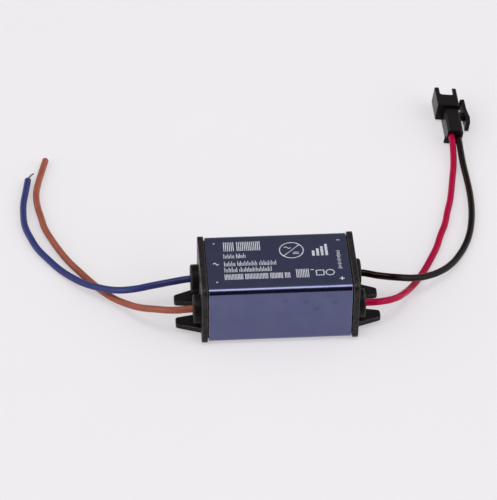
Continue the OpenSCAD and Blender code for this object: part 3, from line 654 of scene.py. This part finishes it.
def blend(tree, share, first, second):
    """Mixes two colours; each is a socket or a plain colour."""
    node = add(tree, "ShaderNodeMix", data_type="RGBA")
    for number, source in ((MIX_SHARE, share), (MIX_FIRST, first), (MIX_SECOND, second)):
        feed(tree, node.inputs[number], source)
    return node.outputs[MIX_RESULT]


print("helpers:", [helper.__name__ for helper in (add, feed, maths, spread, blend)])

# %% Helpers for places, noise and groups
def along_axis(tree, axis, source="Object"):
    """One of the three coordinates of a place."""
    place = add(tree, "ShaderNodeTexCoord")
    axes = add(tree, "ShaderNodeSeparateXYZ")
    feed(tree, axes.inputs[0], place.outputs[source])
    return axes.outputs[axis]


def sized_noise(tree, size, detail=3.0, stretch=(1, 1, 1)):
    """Noise on the piece's own coordinates, with lumps of a size given in millimetres."""
    place = add(tree, "ShaderNodeTexCoord")
    mapping = add(tree, "ShaderNodeMapping", {"Scale": tuple(v / MM for v in stretch)})
    noise = add(tree, "ShaderNodeTexNoise", {"Detail": detail})
    feed(tree, mapping.inputs["Vector"], place.outputs["Object"])
    feed(tree, noise.inputs["Vector"], mapping.outputs["Vector"])
    per_mm = 1 / size if isinstance(size, (int, float)) else maths(tree, "DIVIDE", 1.0, size)
    feed(tree, noise.inputs["Scale"], per_mm)
    return noise.outputs["Fac"]


def new_group(name, inputs, outputs):
    """An empty shader group with its sockets, and its two end nodes."""
    tree = bpy.data.node_groups.new(name, "ShaderNodeTree")
    for label, kind, value in inputs:
        tree.interface.new_socket(label, in_out="INPUT", socket_type=kind).default_value = value
    for label, kind in outputs:
        tree.interface.new_socket(label, in_out="OUTPUT", socket_type=kind)
    return tree, add(tree, "NodeGroupInput"), add(tree, "NodeGroupOutput")


print("helpers:", [helper.__name__ for helper in (along_axis, sized_noise, new_group)])

# %% Grain and mottle
COLOUR, FLOAT = "NodeSocketColor", "NodeSocketFloat"
PATCH_MM, PATCH_DETAIL, PATCH_RANGE = 1.6, 4.0, (0.3, 0.7)
LUMP_DETAIL, LUMP_RANGE = 5.0, (0.35, 0.65)

grain, ends_in, ends_out = new_group(
    "fine_grain",
    [("Size", FLOAT, 0.2), ("Rough Low", FLOAT, 0.4), ("Rough High", FLOAT, 0.6)],
    [("Height", FLOAT), ("Roughness", FLOAT)],
)
feed(grain, ends_out.inputs["Height"], sized_noise(grain, ends_in.outputs["Size"]))
patches = spread(
    grain, sized_noise(grain, PATCH_MM, detail=PATCH_DETAIL), *PATCH_RANGE,
    ends_in.outputs["Rough Low"], ends_in.outputs["Rough High"],
)
feed(grain, ends_out.inputs["Roughness"], patches)

mottle, ends_in, ends_out = new_group(
    "mottle",
    [("Tone", COLOUR, (0.1, 0.1, 0.1, 1)), ("Other Tone", COLOUR, (0.2, 0.2, 0.2, 1)), ("Size", FLOAT, 1.0)],
    [("Color", COLOUR)],
)
lumps = spread(mottle, sized_noise(mottle, ends_in.outputs["Size"], detail=LUMP_DETAIL), *LUMP_RANGE)
two_tone = blend(mottle, lumps, ends_in.outputs["Tone"], ends_in.outputs["Other Tone"])
feed(mottle, ends_out.inputs["Color"], two_tone)
print("groups:", grain.name, mottle.name)

# %% Edge wear with a painted glint, and height
EDGE_NOISE_MM, EDGE_NOISE_DETAIL, EDGE_NOISE_RANGE = 0.7, 4.0, (0.35, 0.7)

edge_wear_and_glint, ends_in, ends_out = new_group(
    "edge_wear_and_glint",
    [("Color", COLOUR, (0, 0, 0, 1)), ("Edge Tone", COLOUR, (0.3, 0.3, 0.3, 1)), ("Amount", FLOAT, 0.5)],
    [("Color", COLOUR)],
)
# A lighter tone on the marked edges: wear, and on the caps and bushings also a painted glint.
marked = add(edge_wear_and_glint, "ShaderNodeAttribute", attribute_name=EASED_MARK)
uneven = spread(edge_wear_and_glint, sized_noise(edge_wear_and_glint, EDGE_NOISE_MM, detail=EDGE_NOISE_DETAIL), *EDGE_NOISE_RANGE)
edge_patches = maths(edge_wear_and_glint, "MULTIPLY", marked.outputs["Fac"], uneven)
share = maths(edge_wear_and_glint, "MULTIPLY", edge_patches, ends_in.outputs["Amount"])
worn_or_glinting = blend(edge_wear_and_glint, share, ends_in.outputs["Color"], ends_in.outputs["Edge Tone"])
feed(edge_wear_and_glint, ends_out.inputs["Color"], worn_or_glinting)

above, ends_in, ends_out = new_group("above_height", [("Height", FLOAT, 0.0)], [("Mask", FLOAT)])
higher = maths(above, "GREATER_THAN", along_axis(above, "Z"), ends_in.outputs["Height"])
feed(above, ends_out.inputs["Mask"], higher)
print("groups:", edge_wear_and_glint.name, above.name)

# %% Material helpers
def finish(name, roughness=0.5, metallic=0.0, specular=0.5):
    """A new material with its Principled shader."""
    material = bpy.data.materials.new(name)
    material.use_nodes = True
    shader = material.node_tree.nodes["Principled BSDF"]
    shader.inputs["Roughness"].default_value = roughness
    shader.inputs["Metallic"].default_value = metallic
    shader.inputs["Specular IOR Level"].default_value = specular
    return material, material.node_tree, shader


def mottled(tree, tone, other, size):
    """The mottle group with its own tones and size."""
    node = add(tree, "ShaderNodeGroup", {"Size": size}, node_tree=mottle)
    feed(tree, node.inputs["Tone"], tone)
    feed(tree, node.inputs["Other Tone"], other)
    return node.outputs["Color"]


def grained(tree, shader, size, rough, depth_mm, strength=0.5):
    """The grain group: its roughness, and its height as a bump."""
    low, high = rough
    node = add(tree, "ShaderNodeGroup", {"Size": size, "Rough Low": low, "Rough High": high}, node_tree=grain)
    bump = add(tree, "ShaderNodeBump", {"Strength": strength, "Distance": depth_mm * MM})
    feed(tree, shader.inputs["Roughness"], node.outputs["Roughness"])
    feed(tree, bump.inputs["Height"], node.outputs["Height"])
    feed(tree, shader.inputs["Normal"], bump.outputs["Normal"])


def edged(tree, colour, edge_tone, amount):
    """The edge group over a colour: wear, and on some parts a painted glint."""
    node = add(tree, "ShaderNodeGroup", {"Amount": amount}, node_tree=edge_wear_and_glint)
    feed(tree, node.inputs["Edge Tone"], edge_tone)
    feed(tree, node.inputs["Color"], colour)
    return node.outputs["Color"]


def dress(material, *pieces):
    """Gives pieces or CAD nodes a material in place of what they had."""
    for piece in pieces:
        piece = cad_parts[piece] if isinstance(piece, str) else piece
        piece.data.materials.clear()
        piece.data.materials.append(material)
    print("finish:", material.name, "pieces:", len(pieces))


print("helpers:", [helper.__name__ for helper in (finish, mottled, grained, edged, dress)])

# %% [markdown]
# ## Anodised aluminium
# Anodising leaves a dyed, glassy oxide on bare metal: a metal whose reflections are tinted blue. The
# extrusion die leaves faint lines along the tube, so the roughness and the bump come from a noise
# that is stretched along X. A few rubbed spots on the front face are soft, dark, broken smudges.

# %% Finish of the tube
ANODISED, ANODISED_DEEP, ANODISED_DRIFT = (0.119, 0.128, 0.24), (0.106, 0.115, 0.224), 6.0
SMUDGES = ((1.3, 15.3), (6.9, 14.6), (10.1, 12.0), (13.6, 16.6), (15.1, 14.2))
SMUDGE_SCALE = (0.8, 0.7, 1.1)
SMUDGE_TONE, SMUDGE_SHARE = (0.05, 0.052, 0.11), 0.8
SMUDGE_CORE, SMUDGE_EDGE = 0.1, 0.95
BREAK_MM, BREAK_DETAIL, BREAK_RANGE = 0.6, 4.0, (0.36, 0.6)
FRONT_Y = -12.5
BARE_EDGE, BARE_SHARE = (0.5, 0.51, 0.55), 0.7
DIE_LINE, DIE_DETAIL, DIE_STRETCH = 0.12, 2.0, (0.015, 1, 1)
DIE_RANGE, DIE_ROUGH = (0.3, 0.7), (0.17, 0.25)
DIE_STRENGTH, DIE_DEPTH = 0.12, 0.01
OXIDE_WEIGHT, OXIDE_ROUGH = 0.15, 0.12

anodised, tree, shader = finish("anodised_blue", metallic=1.0)
colour = mottled(tree, ANODISED, ANODISED_DEEP, ANODISED_DRIFT)
place = add(tree, "ShaderNodeTexCoord")
for x, z in SMUDGES:
    centre = tuple(-at * scale for at, scale in zip((x, FRONT_Y, z), SMUDGE_SCALE))
    per_metre = tuple(scale / MM for scale in SMUDGE_SCALE)
    spot = add(tree, "ShaderNodeMapping", {"Location": centre, "Scale": per_metre})
    feed(tree, spot.inputs["Vector"], place.outputs["Object"])
    far = add(tree, "ShaderNodeVectorMath", operation="LENGTH")
    feed(tree, far.inputs[0], spot.outputs["Vector"])
    near = spread(tree, far.outputs["Value"], SMUDGE_CORE, SMUDGE_EDGE, SMUDGE_SHARE, 0.0)
    broken = spread(tree, sized_noise(tree, BREAK_MM, detail=BREAK_DETAIL), *BREAK_RANGE)
    colour = blend(tree, maths(tree, "MULTIPLY", near, broken), colour, SMUDGE_TONE)
feed(tree, shader.inputs["Base Color"], edged(tree, colour, BARE_EDGE, BARE_SHARE))
lines = sized_noise(tree, DIE_LINE, detail=DIE_DETAIL, stretch=DIE_STRETCH)
feed(tree, shader.inputs["Roughness"], spread(tree, lines, *DIE_RANGE, *DIE_ROUGH))
bump = add(tree, "ShaderNodeBump", {"Strength": DIE_STRENGTH, "Distance": DIE_DEPTH * MM})
feed(tree, bump.inputs["Height"], lines)
feed(tree, shader.inputs["Normal"], bump.outputs["Normal"])
shader.inputs["Coat Weight"].default_value = OXIDE_WEIGHT
shader.inputs["Coat Roughness"].default_value = OXIDE_ROUGH
dress(anodised, tube)

# %% [markdown]
# ## Black plastics and rubber
# All the black parts differ in the way they take light. The caps are a hard plastic from a blasted
# mould, lighter where edges are rubbed and where a glint is painted along them. Their ears are
# darkened to a deep black, which is painted shade from the bushings and the body above them. The
# rubber is duller with a brown cast, its lips lighter from wear and a painted highlight, and the nylon
# plug is smoother. All three use the same groups, with their own tones and sizes.

# %% Finishes of the caps, bushings and plug
PLATE_X, EAR_FADE, EAR_SHARE = 22.0, 1.0, 0.85
# The ears' tone is painted shade: they are darkened as though the bushings and the body shaded them.
EAR_SHADE_TONE = (0.002, 0.0003, 0.0002)


def ear_shade_mask(tree):
    """A mask for painted shade that is 0 on the plates of the caps and rises on their ears."""
    outward = maths(tree, "ABSOLUTE", along_axis(tree, "X"))
    return spread(tree, outward, PLATE_X * MM, (PLATE_X + EAR_FADE) * MM, 0.0, EAR_SHARE)


def moulded(
    name, tone, other, speck_mm, sheen, rough, grain_mm, depth_mm, edge_tone, edge_amount, ears=False
):
    """A moulded black finish: specked and grained, lighter at its edges from wear and a painted glint, with
    painted shade on the ears if asked.
    """
    material, tree, shader = finish(name, specular=sheen)
    colour = mottled(tree, tone, other, speck_mm)
    if ears:
        # Painted shade on the ears of the caps.
        colour = blend(tree, ear_shade_mask(tree), colour, EAR_SHADE_TONE)
    feed(tree, shader.inputs["Base Color"], edged(tree, colour, edge_tone, edge_amount))
    grained(tree, shader, grain_mm, rough, depth_mm)
    return material


# Painted glint: the caps' lighter edge tone is partly wear and partly a glint painted along the eased rims.
cap_plastic = moulded(
    "cap_plastic", tone=(0.0022, 0.001, 0.001), other=(0.0245, 0.0185, 0.0195), speck_mm=1.1, sheen=0.24,
    rough=(0.3, 0.46), grain_mm=0.35, depth_mm=0.09, edge_tone=(0.095, 0.088, 0.092), edge_amount=0.75,
    ears=True,
)
# Painted highlight: the bushings' lighter edge tone is partly wear and partly a highlight painted on the
# flange's lips.
bushing_rubber = moulded(
    "bushing_rubber", tone=(0.004, 0.002, 0.0023), other=(0.008, 0.005, 0.0055), speck_mm=2.2, sheen=0.16,
    rough=(0.42, 0.58), grain_mm=0.35, depth_mm=0.03, edge_tone=(0.06, 0.055, 0.055), edge_amount=0.7,
)
plug_nylon = moulded(
    "plug_nylon", tone=(0.005, 0.0028, 0.003), other=(0.0075, 0.0048, 0.005), speck_mm=2.2, sheen=0.16,
    rough=(0.24, 0.36), grain_mm=0.25, depth_mm=0.01, edge_tone=(0.04, 0.038, 0.04), edge_amount=0.5,
)
dress(cap_plastic, *caps.values())
dress(bushing_rubber, *bushes.values())
dress(plug_nylon, plug)

# %% [markdown]
# ## Lead insulation
# PVC insulation is extruded hot, so it is smooth and a little shiny, with a tone that drifts along
# the wire. One loop makes the four colours. Object coordinates are enough here, because the drift
# has no direction.

# %% Finishes of the leads
# tone, other tone and sheen
INSULATION = {
    "live": ((0.32, 0.088, 0.055), (0.275, 0.073, 0.044), 0.18),
    "neutral": ((0.03, 0.0375, 0.155), (0.025, 0.031, 0.132), 0.2),
    "positive": ((0.4, 0.001, 0.045), (0.344, 0.001, 0.038), 0.1),
    "negative": ((0.0055, 0.0008, 0.0006), (0.008, 0.0025, 0.0022), 0.15),
}
PVC_DRIFT = 3.5
PVC_GRAIN, PVC_ROUGH, PVC_DEPTH, PVC_STRENGTH = 0.5, (0.1, 0.2), 0.012, 0.3
for lead, (tone, other, sheen) in INSULATION.items():
    pvc, tree, shader = finish(f"{lead}_pvc", specular=sheen)
    feed(tree, shader.inputs["Base Color"], mottled(tree, tone, other, PVC_DRIFT))
    grained(tree, shader, PVC_GRAIN, PVC_ROUGH, PVC_DEPTH, strength=PVC_STRENGTH)
    dress(pvc, cords[lead], tails[lead])

# %% [markdown]
# ## Bare metal and ink
# The strands, the solder and the contacts are tinned. Tin is a soft white metal, so the reflections
# are broad. The ink is a matt, slightly broken white: a mottle pulls it towards the blue beneath.

# %% Finishes of the strands, contacts and print
METAL_DRIFT, INK_DRIFT = 0.8, 0.9
FINE_GRAIN, FINE_DEPTH, FINE_STRENGTH = 0.15, 0.01, 0.3


def smooth_finish(name, tone, other, drift, rough, **settings):
    """A drifting tone with a very fine grain, for metal and ink."""
    material, tree, shader = finish(name, **settings)
    feed(tree, shader.inputs["Base Color"], mottled(tree, tone, other, drift))
    grained(tree, shader, FINE_GRAIN, rough, FINE_DEPTH, strength=FINE_STRENGTH)
    return material


tinned_wire = smooth_finish(
    "tinned_wire", (0.36, 0.33, 0.3), (0.24, 0.21, 0.19), METAL_DRIFT, rough=(0.3, 0.45), metallic=1.0
)
solder_metal = smooth_finish(
    "solder", (0.55, 0.55, 0.54), (0.42, 0.42, 0.42), METAL_DRIFT, rough=(0.22, 0.4), metallic=1.0
)
tinned_brass = smooth_finish(
    "tinned_brass", (0.62, 0.56, 0.42), (0.5, 0.43, 0.3), METAL_DRIFT, rough=(0.2, 0.34), metallic=1.0
)
pale_ink = smooth_finish(
    "pale_ink", (0.62, 0.63, 0.68), (0.4, 0.41, 0.48), INK_DRIFT, rough=(0.5, 0.7)
)
dress(tinned_wire, neutral_bundle, live_bundle)
dress(solder_metal, solder_joints)
dress(tinned_brass, "positive_contact", "negative_contact")
dress(pale_ink, label_print)

# %% [markdown]
# ## Parts on the board
# Inside the case every component keeps its solid and gets the finish of the real thing. Most of them
# stand on bare legs, so the height group parts the tinned legs from the body above the board. The
# resistor's colour rings and the tape's layers follow one axis through a colour ramp.

# %% Components with legs
TIN = (0.55, 0.55, 0.54)
BOARD_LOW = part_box("circuit_board")[0].z / MM
FOOT, DISC_LEG, LEG_DROP = 0.02, 0.9, 0.22
BODY_DRIFT, BODY_GRAIN, BODY_DEPTH = 1.5, 0.25, 0.01
EPOXY, EPOXY_OTHER = (0.02, 0.02, 0.021), (0.028, 0.028, 0.029)
# finish, node, tone, other tone, roughness, how far the body starts above the board
STANDING = (
    ("input_can", "input_capacitor", (0.02, 0.02, 0.032), (0.03, 0.03, 0.045), (0.25, 0.35), FOOT),
    ("output_can", "output_capacitor", (0.015, 0.03, 0.07), (0.02, 0.04, 0.09), (0.25, 0.35), FOOT),
    ("choke_sleeve", "input_choke", (0.02, 0.07, 0.035), (0.03, 0.09, 0.045), (0.4, 0.55), FOOT),
    ("disc_lacquer", "safety_capacitor", (0.04, 0.1, 0.4), (0.03, 0.08, 0.33), (0.3, 0.45), DISC_LEG),
    ("bobbin_plastic", "transformer_bobbin", (0.5, 0.45, 0.32), (0.44, 0.39, 0.27), (0.4, 0.55), FOOT),
    ("diode_epoxy", "output_diode", EPOXY, (0.03, 0.03, 0.031), (0.45, 0.6), FOOT),
)
HANGING = ("bridge_rectifier", "driver_chip", "sense_resistor")
HANGING_ROUGH = (0.5, 0.65)


def on_legs(name, node, tone, other, rough, split_mm, body_above=True):
    """A body in two tones on tinned legs, parted at a height."""
    material, tree, shader = finish(name)
    body = mottled(tree, tone, other, BODY_DRIFT)
    mask = add(tree, "ShaderNodeGroup", {"Height": split_mm * MM}, node_tree=above).outputs["Mask"]
    if not body_above:
        mask = maths(tree, "SUBTRACT", 1.0, mask)
    feed(tree, shader.inputs["Base Color"], blend(tree, mask, TIN, body))
    feed(tree, shader.inputs["Metallic"], spread(tree, mask, 0, 1, 1, 0))
    grained(tree, shader, BODY_GRAIN, rough, BODY_DEPTH)
    dress(material, node)


for name, node, tone, other, rough, lift in STANDING:
    on_legs(name, node, tone, other, rough, BOARD_TOP + lift)
for node in HANGING:
    on_legs(f"{node}_epoxy", node, EPOXY, EPOXY_OTHER, HANGING_ROUGH, BOARD_LOW - LEG_DROP, body_above=False)

# %% Resistor and tape in bands
DUST_TONE, DUST_MM = (0.12, 0.12, 0.11), 0.6
CLOUD_MM, CLOUD_RANGE, CLOUD_SHARE = 0.8, (0.4, 0.7), 0.2
WHITE_METAL, NO_METAL = (1, 1, 1, 1), (0, 0, 0, 1)


def stepped_ramp(tree, share, bands):
    """A colour ramp with hard steps: (share where a band starts, colour) pairs."""
    ramp = add(tree, "ShaderNodeValToRGB")
    ramp.color_ramp.interpolation = "CONSTANT"
    while len(ramp.color_ramp.elements) < len(bands):
        ramp.color_ramp.elements.new(1.0)
    for element, (start, tone) in zip(ramp.color_ramp.elements, bands):
        element.position = start
        element.color = tone
    feed(tree, ramp.inputs[0], share)
    return ramp.outputs[0]


def banded(name, node, axis, bands, rough, metal_ends=False):
    """A finish in bands along one axis of a node's box."""
    low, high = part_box(node)
    number = "XYZ".index(axis)
    material, tree, shader = finish(name)
    share = spread(tree, along_axis(tree, axis), low[number], high[number])
    rings = stepped_ramp(tree, share, [(start, (*tone, 1)) for start, tone in bands])
    dusty = blend(tree, sized_noise(tree, DUST_MM), rings, DUST_TONE)
    cloud = spread(tree, sized_noise(tree, CLOUD_MM), *CLOUD_RANGE, 0.0, CLOUD_SHARE)
    feed(tree, shader.inputs["Base Color"], blend(tree, cloud, rings, dusty))
    grained(tree, shader, BODY_GRAIN, rough, BODY_DEPTH)
    if metal_ends:
        ends = [(0.0, WHITE_METAL), (bands[1][0], NO_METAL), (bands[-1][0], WHITE_METAL)]
        feed(tree, shader.inputs["Metallic"], stepped_ramp(tree, share, ends))
    dress(material, node)


LACQUER, BROWN, BLACK, GOLD = (0.36, 0.5, 0.42), (0.12, 0.04, 0.02), (0.01, 0.01, 0.01), (0.5, 0.36, 0.1)
RESISTOR_BANDS = (
    (0.0, TIN), (0.165, LACQUER), (0.3, BROWN), (0.37, LACQUER), (0.45, BLACK), (0.52, LACQUER),
    (0.6, GOLD), (0.67, LACQUER), (0.835, TIN),
)
TAPE, TAPE_EDGE = (0.78, 0.56, 0.07), (0.6, 0.4, 0.04)
TAPE_BANDS = ((0.0, TAPE), (0.3, TAPE_EDGE), (0.33, TAPE), (0.64, TAPE_EDGE), (0.67, TAPE))
banded("resistor_lacquer", "fusible_resistor", "Y", RESISTOR_BANDS, rough=(0.35, 0.5), metal_ends=True)
banded("winding_tape", "transformer_winding", "Z", TAPE_BANDS, rough=(0.25, 0.4))

# %% Ferrite and board
FERRITE, FERRITE_OTHER, FERRITE_SPECK = (0.045, 0.044, 0.046), (0.065, 0.063, 0.066), 0.5
FERRITE_GRAIN, FERRITE_ROUGH, FERRITE_DEPTH = 0.18, (0.6, 0.8), 0.02
RESIST, RESIST_OTHER, RESIST_DRIFT = (0.012, 0.12, 0.05), (0.016, 0.15, 0.062), 2.0
TRACK_TONE, TRACK_WIDE, TRACK_HIGH, TRACK_GAP = (0.03, 0.22, 0.09), 4.6, 2.3, 0.09
BOARD_GRAIN, BOARD_ROUGH, BOARD_DEPTH = 0.4, (0.3, 0.42), 0.01

ferrite, tree, shader = finish("core_ferrite")
feed(tree, shader.inputs["Base Color"], mottled(tree, FERRITE, FERRITE_OTHER, FERRITE_SPECK))
grained(tree, shader, FERRITE_GRAIN, FERRITE_ROUGH, FERRITE_DEPTH)
dress(ferrite, "lower_core", "upper_core")

laminate, tree, shader = finish("board_laminate")
tracks = add(
    tree, "ShaderNodeTexBrick",
    {"Scale": 1.0, "Mortar Size": TRACK_GAP, "Brick Width": TRACK_WIDE, "Row Height": TRACK_HIGH},
)
place = add(tree, "ShaderNodeTexCoord")
mapping = add(tree, "ShaderNodeMapping", {"Scale": (1 / MM, 1 / MM, 0)})
feed(tree, mapping.inputs["Vector"], place.outputs["Object"])
feed(tree, tracks.inputs["Vector"], mapping.outputs["Vector"])
resist = mottled(tree, RESIST, RESIST_OTHER, RESIST_DRIFT)
feed(tree, shader.inputs["Base Color"], blend(tree, tracks.outputs["Fac"], resist, TRACK_TONE))
grained(tree, shader, BOARD_GRAIN, BOARD_ROUGH, BOARD_DEPTH)
dress(laminate, "circuit_board")

# %% [markdown]
# ## Table and light
# The object lies on an off-white table under a small soft box that hangs over it, a little in front.
# The picture is brightly exposed, so the table is partly washed out and its shadows are faint. More
# light would wash out the object too, so the table's own material glows a little, for the camera and
# in reflections alone. A metal tube shows what stands round it: bright walls at the front sides, and
# a dark, bluish strip on the camera's side that draws the line under the tube's bright upper edge.

# %% Table
FLOOR_SIZE, FLOOR_DROP = 3.0, 0.02
FLOOR_TONE, FLOOR_SHADE, FLOOR_DRIFT = (0.835, 0.824, 0.849), (0.825, 0.814, 0.838), 40.0
FLOOR_ROUGH, FLOOR_SHEEN = 0.9, 0.15
GLOW_TONE, GLOW_SHARE = (0.864, 0.84, 0.872), 0.5

floor_mesh = bmesh.new()
bmesh.ops.create_grid(floor_mesh, x_segments=1, y_segments=1, size=FLOOR_SIZE)
bmesh.ops.translate(floor_mesh, vec=(0, 0, -FLOOR_DROP * MM), verts=floor_mesh.verts)
floor_data = bpy.data.meshes.new("floor")
floor_mesh.to_mesh(floor_data)
floor_mesh.free()
floor = bpy.data.objects.new("floor", floor_data)
scene.collection.objects.link(floor)

paper, tree, shader = finish("table_paper", roughness=FLOOR_ROUGH, specular=FLOOR_SHEEN)
feed(tree, shader.inputs["Base Color"], mottled(tree, FLOOR_TONE, FLOOR_SHADE, FLOOR_DRIFT))
rays = add(tree, "ShaderNodeLightPath")
shown = rays.outputs["Is Camera Ray"]
for kind in ("Is Glossy Ray", "Is Transmission Ray"):
    shown = maths(tree, "MAXIMUM", shown, rays.outputs[kind])
glow = add(tree, "ShaderNodeEmission", {"Color": (*GLOW_TONE, 1), "Strength": 1.0})
washed = add(tree, "ShaderNodeMixShader")
feed(tree, washed.inputs[0], spread(tree, shown, 0, 1, 0, GLOW_SHARE))
feed(tree, washed.inputs[1], shader.outputs[0])
feed(tree, washed.inputs[2], glow.outputs[0])
feed(tree, tree.nodes["Material Output"].inputs["Surface"], washed.outputs[0])
dress(paper, floor)

# %% Surroundings
SKY_TONE, DUSK_TONE, DUSK_LIMIT = (0.985, 0.98, 1.0), (0.8, 0.8, 2.4), 0.1
# place from the camera's side at -1 to the far side at 1, and brightness there
SKY = ((-1.0, 0.012), (-0.55, 0.015), (-0.1, 0.45), (0.3, 0.45), (0.6, 0.3), (1.0, 0.3))
SIDES = ((-1.0, 2.3), (-0.35, 2.3), (0.2, 1.05), (1.0, 0.8))
SIDE_START, SIDE_FULL = 0.32, 0.6

world = bpy.data.worlds.new("studio")
scene.world = world
world.use_nodes = True
tree = world.node_tree
depth = spread(tree, along_axis(tree, "Y", "Generated"), -1, 1)


def along_depth(levels):
    """Brightness of the surroundings from the camera's side to the far side."""
    ramp = add(tree, "ShaderNodeValToRGB")
    while len(ramp.color_ramp.elements) < len(levels):
        ramp.color_ramp.elements.new(1.0)
    for element, (y, level) in zip(ramp.color_ramp.elements, levels):
        element.position = (y + 1) / 2
        tone = DUSK_TONE if level < DUSK_LIMIT else SKY_TONE
        element.color = (*(level * part for part in tone), 1)
    feed(tree, ramp.inputs[0], depth)
    return ramp.outputs[0]


sideways = maths(tree, "ABSOLUTE", along_axis(tree, "X", "Generated"))
aside = spread(tree, sideways, SIDE_START, SIDE_FULL, kind="SMOOTHSTEP")
around = blend(tree, aside, along_depth(SKY), along_depth(SIDES))
feed(tree, tree.nodes["Background"].inputs["Color"], around)
print("surroundings:", len(SKY), "levels overhead and", len(SIDES), "at the sides")

# %% Lamp
LAMP_PLACE = Vector((0.0, -0.12, 0.95))
LAMP_AIM = Vector((0.0, 0.02, 0.0))
LAMP_SIZE = 0.4
LAMP_POWER = 2.2
LAMP_TONE = (1.0, 0.965, 0.87)

lamp_data = bpy.data.lights.new("softbox", "AREA")
lamp_data.shape = "SQUARE"
lamp_data.size = LAMP_SIZE
lamp_data.energy = LAMP_POWER
lamp_data.color = LAMP_TONE
lamp = bpy.data.objects.new("softbox", lamp_data)
lamp_turn = (LAMP_AIM - LAMP_PLACE).to_track_quat("-Z", "Y").to_matrix().to_4x4()
lamp.matrix_world = Matrix.Translation(LAMP_PLACE) @ lamp_turn
scene.collection.objects.link(lamp)
print("lamp power:", LAMP_POWER)
